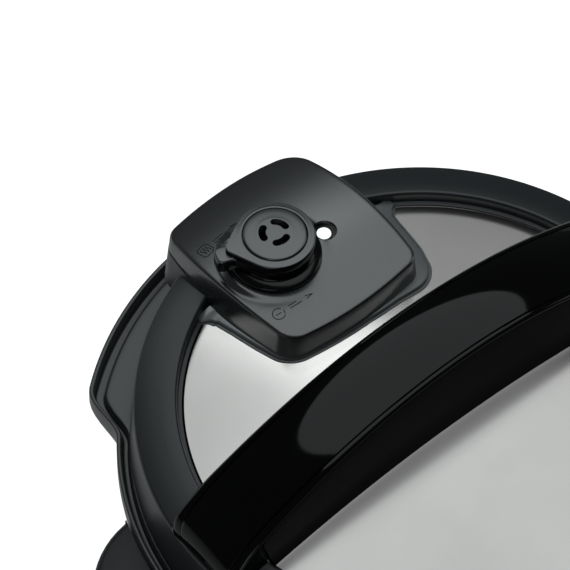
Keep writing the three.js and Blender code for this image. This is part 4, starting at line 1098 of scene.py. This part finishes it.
housing_black = satin("housing_black", (0.019, 0.0215, 0.024), 0.25, 1.0, 0.000004, ior=1.8)
housing = make("valve_housing_moulding", housing_surface(), lid_origin, housing_black, "lid",
               "valve_housing", 32)
leave_out(off_housing, housing)
leave_out(no_shade, housing, strip)
level_box("box_housing", 0.9, 1.4, (0.7, 0.7), 0.7, LOW_CEILING, pieces=group("lit_housing", housing))
FLOAT_HOLE_R = 6
drilled(housing, [moved(cylinder(FLOAT_HOLE_R, 0, 40, 72), (*float_axis, 0))], lid_origin, 32)
ENGRAVED = (  # place, turn in degrees, lines
    ((-32.5, 117), 9, [
        [(-2.6, -3.2), (1.6, -3.2), (3.2, -1.8), (3.2, 2.2), (2.0, 3.2), (-2.2, 3.2), (-3.4, 1.8),
         (-3.4, -2.2), (-2.6, -3.2)],
        wave(-1.5, -1.8, 3.6, 0.5), wave(0.1, -1.8, 3.6, 0.5), wave(1.7, -1.8, 3.6, 0.5),
        [(6, -0.6), (14, -0.6)], [(6, 0.9), (12, 0.9)], [(17, -0.8), (20.4, 0), (17, 0.8)],
    ]),
    ((-31.9, 65.9), -4, [
        arc(0, 0, 2.9, 40, 320, 22), [(-1.4, 0), (1.2, 0)], [(2.6, -1.2), (3.0, 0.4)],
        [(6, -0.6), (12, -0.6)], [(6, 0.9), (10, 0.9)], [(15, -0.8), (18.4, 0), (15, 0.8)],
    ]),
)
engraving = []
for (u, v), degrees, lines in ENGRAVED:
    marks, faces = moved(strokes(lines, 0.42, 0.04), degrees=degrees)
    marks = marks + (u, v, 0)
    marks[:, 2] += housing_top(marks[:, 0], marks[:, 1])
    engraving.append((marks, faces))
mark_black = satin("mark_black", (0.004, 0.004, 0.005), 0.5, 0.3)
make("housing_marks", joined(*engraving), lid_origin, mark_black, "lid")

# ---------------------------------------------------------------- arch handle
# A piano black moulding that bridges the lid, with a crowned back, a fine parting line along both
# edges and walls that spread to the dome. Two screws from below hold it.
ARCH_TOP, ARCH_DROP, ARCH_END, ARCH_HALF, ARCH_DRAFT = 56.2, 0.0024, 131.0, 18.5, 0.0028
ARCH_CROWN, LINE_AT, LINE_WIDE, LINE_DEEP, ARCH_ROUND = 0.0095, 15.6, 0.7, 0.5, 2.4
SHOULDER_AT, SHOULDER_DROP, SHOULDER_POWER, TIP = 108, 6.5, 2.2, 4
DRAFT_AT, FLARE, FLARE_HIGH, ARCH_GAP = 55, 0.7, 1.2, 0.3


def lid_top(r):
    """Height of the lid's upper side at a radius: the dome, then the ring with its sloping top."""
    return np.interp(r, [0, 20, 40, 60, 80, 100, 109.5, 111.8, 112.4, 118, 125, 131, 134],
                     [*dome([0, 20, 40, 60, 80, 100, 109.5]), 0, 5.9, 5, 3, 0.7, -1])


def arch_surface(stations=181):
    """Sections across the handle: up the spread wall, round its edge, over the parting line and the crown
    and down again. The top falls with the square of x and faster past the shoulder, and the ends are
    rounded by drawing the last sections in."""
    spread = np.sin(np.linspace(-np.pi / 2, np.pi / 2, stations) * 0.96)
    x = ARCH_END * spread / spread[-1]
    past = np.clip((np.abs(x) - SHOULDER_AT) / (ARCH_END - SHOULDER_AT), 0, 1)
    top = ARCH_TOP - ARCH_DROP * x**2 - SHOULDER_DROP * past**SHOULDER_POWER
    shrink = np.clip((np.abs(x) - (ARCH_END - TIP)) / TIP, 0, 1)
    inset = TIP * (1 - np.sqrt(np.maximum(1 - shrink**2, 0.0)))
    top = top - inset
    turned = np.linspace(0, np.pi / 2, 7)
    wall = np.linspace(0, 1, 7)[:, None]
    crown = np.linspace(-1, 1, 25)[:, None]
    line_out = LINE_AT + LINE_WIDE
    edge_z = top - ARCH_CROWN * line_out**2 - 0.1
    low = lid_top(np.hypot(x, ARCH_HALF)) + ARCH_GAP
    columns = []
    for side in (-1, 1):
        climb_z = low + (edge_z - ARCH_ROUND - low) * wall
        flare = FLARE * np.clip(1 - (climb_z - low) / FLARE_HIGH, 0, 1)
        climb_y = ARCH_HALF * (1 + ARCH_DRAFT * (DRAFT_AT - climb_z)) + flare
        half_here = ARCH_HALF * (1 + ARCH_DRAFT * (DRAFT_AT - (edge_z - ARCH_ROUND)))
        arc_y = half_here - ARCH_ROUND * (1 - np.cos(turned))[:, None]
        arc_z = edge_z - ARCH_ROUND * (1 - np.sin(turned))[:, None]
        flat_y = np.stack([LINE_AT + LINE_WIDE + 0 * x, LINE_AT + 0.5 * LINE_WIDE + 0 * x])
        flat_z = np.stack([edge_z + 0.1, edge_z - LINE_DEEP])
        y = np.concatenate([climb_y, arc_y[1:], flat_y])
        z = np.concatenate([climb_z, arc_z[1:], flat_z])
        columns.append((side * y, z) if side < 0 else (side * y[::-1], z[::-1]))
    back_y = crown * LINE_AT + 0 * x
    back_z = top - ARCH_CROWN * back_y**2
    bottom_y = np.linspace(1, -1, 13)[1:-1, None] * ARCH_HALF + 0 * x
    bottom_z = lid_top(np.hypot(x + 0 * bottom_y, bottom_y)) + ARCH_GAP
    y = np.concatenate([columns[0][0], back_y, columns[1][0], bottom_y])
    z = np.concatenate([columns[0][1], back_z, columns[1][1], bottom_z])
    y = y * (1 - inset / ARCH_HALF * 0.8)
    return woven(np.stack([np.broadcast_to(x, y.shape), y, z], 2).transpose(1, 0, 2), cap=True)


handle_black = grain(plain("handle_black", (0.0008, 0.0008, 0.001), 0.06, level=0.38), 30, 0.0000015,
                     0.02, 0.2)
make("arch_handle_moulding", arch_surface(), lid_origin, handle_black, "lid", "arch_handle",
     40)
seat = float(dome(HANDLE_SCREW + 5)) - LID_SHEET - 0.5
SCREW = rounded([(0, seat - 1.5, 0), (1.6, seat - 1.5, 0.1), (1.9, seat - 2.6, 0.2), (3.6, seat - 2.6, 0.4),
                 (4.6, seat - 1.2, 0.5), (4.6, seat, 0.2), (1.7, seat, 0.2), (1.7, 24, 0.3), (0, 24, 0)], 4)
for name, side in (("left", -1), ("right", 1)):
    make("arch_screw_" + name, moved(woven(turn(SCREW, 48)), (side * HANDLE_SCREW, 0, 0)), lid_origin,
         small_steel, "lid", "handle_screw_" + name)

# ---------------------------------------------------------------- seal and its rack
# A ring moulded of translucent silicone, pushed over a rack of welded steel wire under the lid. It
# comes off for washing.
silicone = grain(plain("seal_silicone", (0.62, 0.63, 0.6), 0.5), 300, 0.00002, 0.08, 0.04)
milky = silicone.node_tree.nodes["Principled BSDF"].inputs
milky["Subsurface Weight"].default_value = 0.15
milky["Subsurface Radius"].default_value = (0.004, 0.004, 0.003)
SEAL = rounded([
    (105.6, -18, 0.8), (116.1, -18, 0.8), (116.1, -29.6, 1.4), (112.6, -32.3, 1.2), (107.4, -32.3, 0.6),
    (107.4, -30.6, 0.6), (112, -30.4, 0.8), (113.8, -28.8, 0.8), (113.8, -20.2, 0.8), (105.6, -20.2, 0.8),
], 5)
make("sealing_ring_moulded", woven(turn(SEAL, 240)), lid_origin, silicone, "lid", "sealing_ring")
make("seal_rack_wire", wire_ring(110.8, -24.6, 1.5, 200, 14), lid_origin, small_steel, "lid", "seal_rack")

# ---------------------------------------------------------------- exhaust pipe and shield
# The turned pipe that the weight sits on goes through the dome and is held by a nut from below. A
# slotted steel cap over its lower end keeps food out.
pipe_seat = float(dome(math.hypot(*knob_axis) - 9)) + 0.6
PIPE = rounded([
    (2, -12, 0.3), (5, -12, 0.5), (5, pipe_seat, 0.1), (8.4, pipe_seat + 0.6, 0.3), (8.4, pipe_seat + 3, 0.5),
    (5, pipe_seat + 3, 0.4), (5, 25, 0.6), (3.4, 27, 0.6), (2, 27, 0.3),
], 4)
knob_origin = lid_origin + (*knob_axis, 0)
make("exhaust_pipe_turned", woven(turn(PIPE, 64)), knob_origin, small_steel, "lid", "exhaust_pipe")


def hex_nut(inner, outer, z0, z1):
    """A nut: rows run from its round bore to the hexagon outside, whose upper edges are cut by a cone."""
    a = np.linspace(0, 2 * np.pi, 72, endpoint=False)
    hexagon = outer * math.cos(math.pi / 6) / np.cos((a + math.pi / 6) % (math.pi / 3) - math.pi / 6)
    cut = outer * 0.9
    rows = [(inner, z0), (hexagon, z0), (hexagon, z1 - 0.8), (np.minimum(hexagon, cut), z1), (inner, z1)]
    return woven(np.stack([raised(r * np.cos(a), r * np.sin(a), z + 0 * a) for r, z in rows]))


make("exhaust_nut_hex", hex_nut(6.2, 10, -5.6, -1.2), knob_origin, small_steel, "lid", "exhaust_nut")
SHIELD = rounded([
    (5.5, -6.6, 0.3), (9.3, -6.6, 0.5), (9.3, -22, 1.2), (7.8, -25, 1), (0, -25, 0), (0, -23.6, 0),
    (7.2, -23.6, 0.8), (8.1, -21.6, 0.8), (8.1, -8, 0.4), (5.5, -8, 0.3),
], 4)
shield = make("anti_block_cap", woven(turn(SHIELD, 72)), knob_origin, small_steel, "lid", "anti_block_shield")
shield_slots = [moved(bar(6, 12, -1.2, 1.2, -21, -10, 1.0), degrees=i * 60) for i in range(6)]
drilled(shield, shield_slots, knob_origin)

# ---------------------------------------------------------------- float valve
# A small turned pin with a flat bright head that rises when the pot is under pressure. A silicone
# cap on its lower end seals the hole and holds it in.
float_metal = grain(plain("float_metal", (0.97, 0.97, 0.97), 0.24, metallic=1.0), 900, 0.0, 0.05, 0.03)
FLOAT = rounded([
    (0, -8.4, 0), (2.2, -8.4, 0.4), (2.2, 18.6, 0.3), (3.7, 18.6, 0.3), (3.7, 22.6, 0.4), (3.3, 22.9, 0.3),
    (0, 22.9, 0),
], 4)
float_origin = lid_origin + (*float_axis, 0)
float_pin = make("float_pin_turned", woven(turn(FLOAT, 48)), float_origin, float_metal, "float_valve",
                 "float_pin")
on_steel.objects.link(float_pin)
SEAL_CAP = rounded([(2.5, -10.2, 0.3), (4.6, -10.2, 0.6), (5.2, -8.6, 0.6), (5.2, -6.3, 0.4),
                    (2.5, -6.3, 0.3)], 4)
make("float_seal_cap", woven(turn(SEAL_CAP, 48)), float_origin, silicone, "float_valve", "float_seal")

# ---------------------------------------------------------------- steam release knob
# A glossy black skirt with a satin teardrop plate on top whose tip points at the setting, over a
# stubby lever. It lifts off; the steel weight inside it closes the pipe.
KNOB_LEVER = 160  # degrees, where the lever points
PLATE_R, TIP_REACH, TIP_R, POCKET_R, DISC_R = 18.4, 23.4, 3.0, 14.8, 14.45
knob_base = knob_origin + (0, 0, bare_top(0, knob_axis[1]))
knob_gloss = grain(plain("knob_gloss", (0.002, 0.002, 0.0024), 0.16, level=0.45), 60, 0.000002, 0.03, 0.2)
knob_satin = satin("knob_satin", (0.022, 0.0235, 0.025), 0.3, 1.0, 0.000005, ior=1.85)


def teardrop(columns=240):
    """Radius of the plate's outline at each angle: a circle, the two lines tangent to it and to the small
    circle of the tip, and that small circle."""
    a = np.linspace(-np.pi, np.pi, columns, endpoint=False)
    bent, centre = np.abs(a), TIP_REACH - TIP_R
    lean = math.acos((PLATE_R - TIP_R) / centre)
    touch = math.atan2(TIP_R * math.sin(lean), centre + TIP_R * math.cos(lean))
    line = PLATE_R / np.cos(np.clip(lean - bent, 0, lean))
    tip = centre * np.cos(a) + np.sqrt(np.maximum(TIP_R**2 - (centre * np.sin(a)) ** 2, 0))
    return a, np.where(bent >= lean, PLATE_R, np.where(bent >= touch, line, tip))


PLATE_ANGLE, PLATE_EDGE = teardrop()


def around(radius, z):
    """A ring of points at the plate's angles."""
    r = np.broadcast_to(radius, PLATE_ANGLE.shape)
    return raised(r * np.cos(PLATE_ANGLE), r * np.sin(PLATE_ANGLE), np.broadcast_to(z, r.shape))


def knob_plate():
    """Rings: up the teardrop's edge with a fine chamfer, in over a slightly dished top to the pocket for the
    disc, down into it, and back along the underside."""
    rows = [around(PLATE_EDGE - inset, z) for inset, z in (
        (0.9, 10.6), (0.1, 10.6), (0, 10.8), (0, 15.7), (0.12, 16.1), (0.45, 16.4), (0.9, 16.42))]
    for share in (0.25, 0.5, 0.75, 1.0):
        r = (PLATE_EDGE - 0.9) * (1 - share) + (POCKET_R + 0.45) * share
        rows.append(around(r, 16.42 + 0.5 * share))
    rows += [around(r, z) for r, z in (
        (POCKET_R + 0.15, 16.8), (POCKET_R, 16.4), (POCKET_R, 13.4), (8.0, 13.4), (8.0, 10.6))]
    return woven(np.stack(rows))


def second_finish(piece, material, low, high):
    """Gives another material to the faces whose middles lie between two heights over the knob's base."""
    piece.data.materials.append(material)
    for face in piece.data.polygons:
        if (knob_base[2] + low) * MM < face.center.z < (knob_base[2] + high) * MM:
            face.material_index = 1


KNOB_BODY = rounded([
    (5.7, -13, 0.3), (12, -13, 0.6), (12, 1.5, 0.5), (20.6, 1.5, 0.5), (21.4, 2.2, 0.5), (21.4, 3.4, 0.8),
    (19.4, 4.6, 0.9), (17.4, 5.4, 1.0), (17.2, 9.4, 0.5), (17.7, 9.7, 0.2), (17.7, 10.3, 0.2),
    (5.7, 10.3, 0.3),
], 5)
LEVER = rounded([
    (9, -9, 0.5), (16.2, -9.6, 1.2), (19.4, -4.4, 3.4), (28.4, -4.4, 3.4), (28.4, 4.4, 3.4), (19.4, 4.4, 3.4),
    (16.2, 9.6, 1.2), (9, 9, 0.5),
], 8)
lever = slab(LEVER, [(0.5, 5.0), (0, 5.6), (0, 12.2), (0.15, 12.7), (0.5, 13.05), (1.1, 13.2)])
skirt = make("knob_skirt", moved(joined(woven(turn(KNOB_BODY, 160)), lever), degrees=KNOB_LEVER), knob_base,
             knob_gloss, "steam_knob", crease=50)
second_finish(skirt, knob_satin, 12.4, 100)  # the top of the lever
plate = make("knob_plate", moved(knob_plate(), degrees=KNOB_LEVER), knob_base, knob_satin, "steam_knob",
             "release_knob", 40)
second_finish(plate, knob_gloss, -100, 15.9)  # the plate's side
DISC = rounded([
    (0, 13.75, 0), (DISC_R, 13.75, 0.3), (DISC_R, 16.9, 0.3), (DISC_R - 0.5, 17.35, 0.4), (12, 17.75, 1.0),
    (9, 18.1, 1.5), (8.2, 18.25, 0.4), (0, 18.6, 0),
], 5)
disc = make("knob_disc", moved(woven(turn(DISC, 160)), degrees=KNOB_LEVER), knob_base, knob_satin,
            "steam_knob", "knob_cap", 40)


def kidney(r0, r1, centre, half, z0, z1):
    """A slot along an arc with round ends: its outline runs out along one radius and back along the other."""
    mid, thick = (r0 + r1) / 2, (r1 - r0) / 2
    a = np.radians(np.linspace(centre - half, centre + half, 24))
    end = np.linspace(0, np.pi, 9)[1:-1]

    def cap(at, sign):
        """The half circle round the middle line's end, at an angle."""
        at = math.radians(at)
        return np.stack([
            mid * math.cos(at) + thick * (np.cos(end) * math.cos(at) - sign * np.sin(end) * math.sin(at)),
            mid * math.sin(at) + thick * (np.cos(end) * math.sin(at) + sign * np.sin(end) * math.cos(at)),
        ], 1)

    arc = np.stack([np.cos(a), np.sin(a)], 1)
    ends = cap(centre + half, 1), cap(centre - half, -1)[::-1]
    return slab(np.concatenate([r1 * arc, ends[0], (r0 * arc)[::-1], ends[1]]), [(0, z0), (0, z1)])


slots = [moved(kidney(4.1, 7.5, centre, 29, 10, 24), degrees=KNOB_LEVER) for centre in (105, 225, 345)]
drilled(disc, slots, knob_base, 40)
leave_out(no_shade, plate, skirt, disc)
WEIGHT = rounded([(0, 3.2, 0), (2, 3.2, 0.4), (5.2, 5, 0.5), (5.2, 11, 0.6), (4, 12.4, 0.6), (0, 12.4, 0)], 4)
make("valve_weight_turned", woven(turn(WEIGHT, 48)), knob_base, small_steel, "steam_knob", "valve_weight")
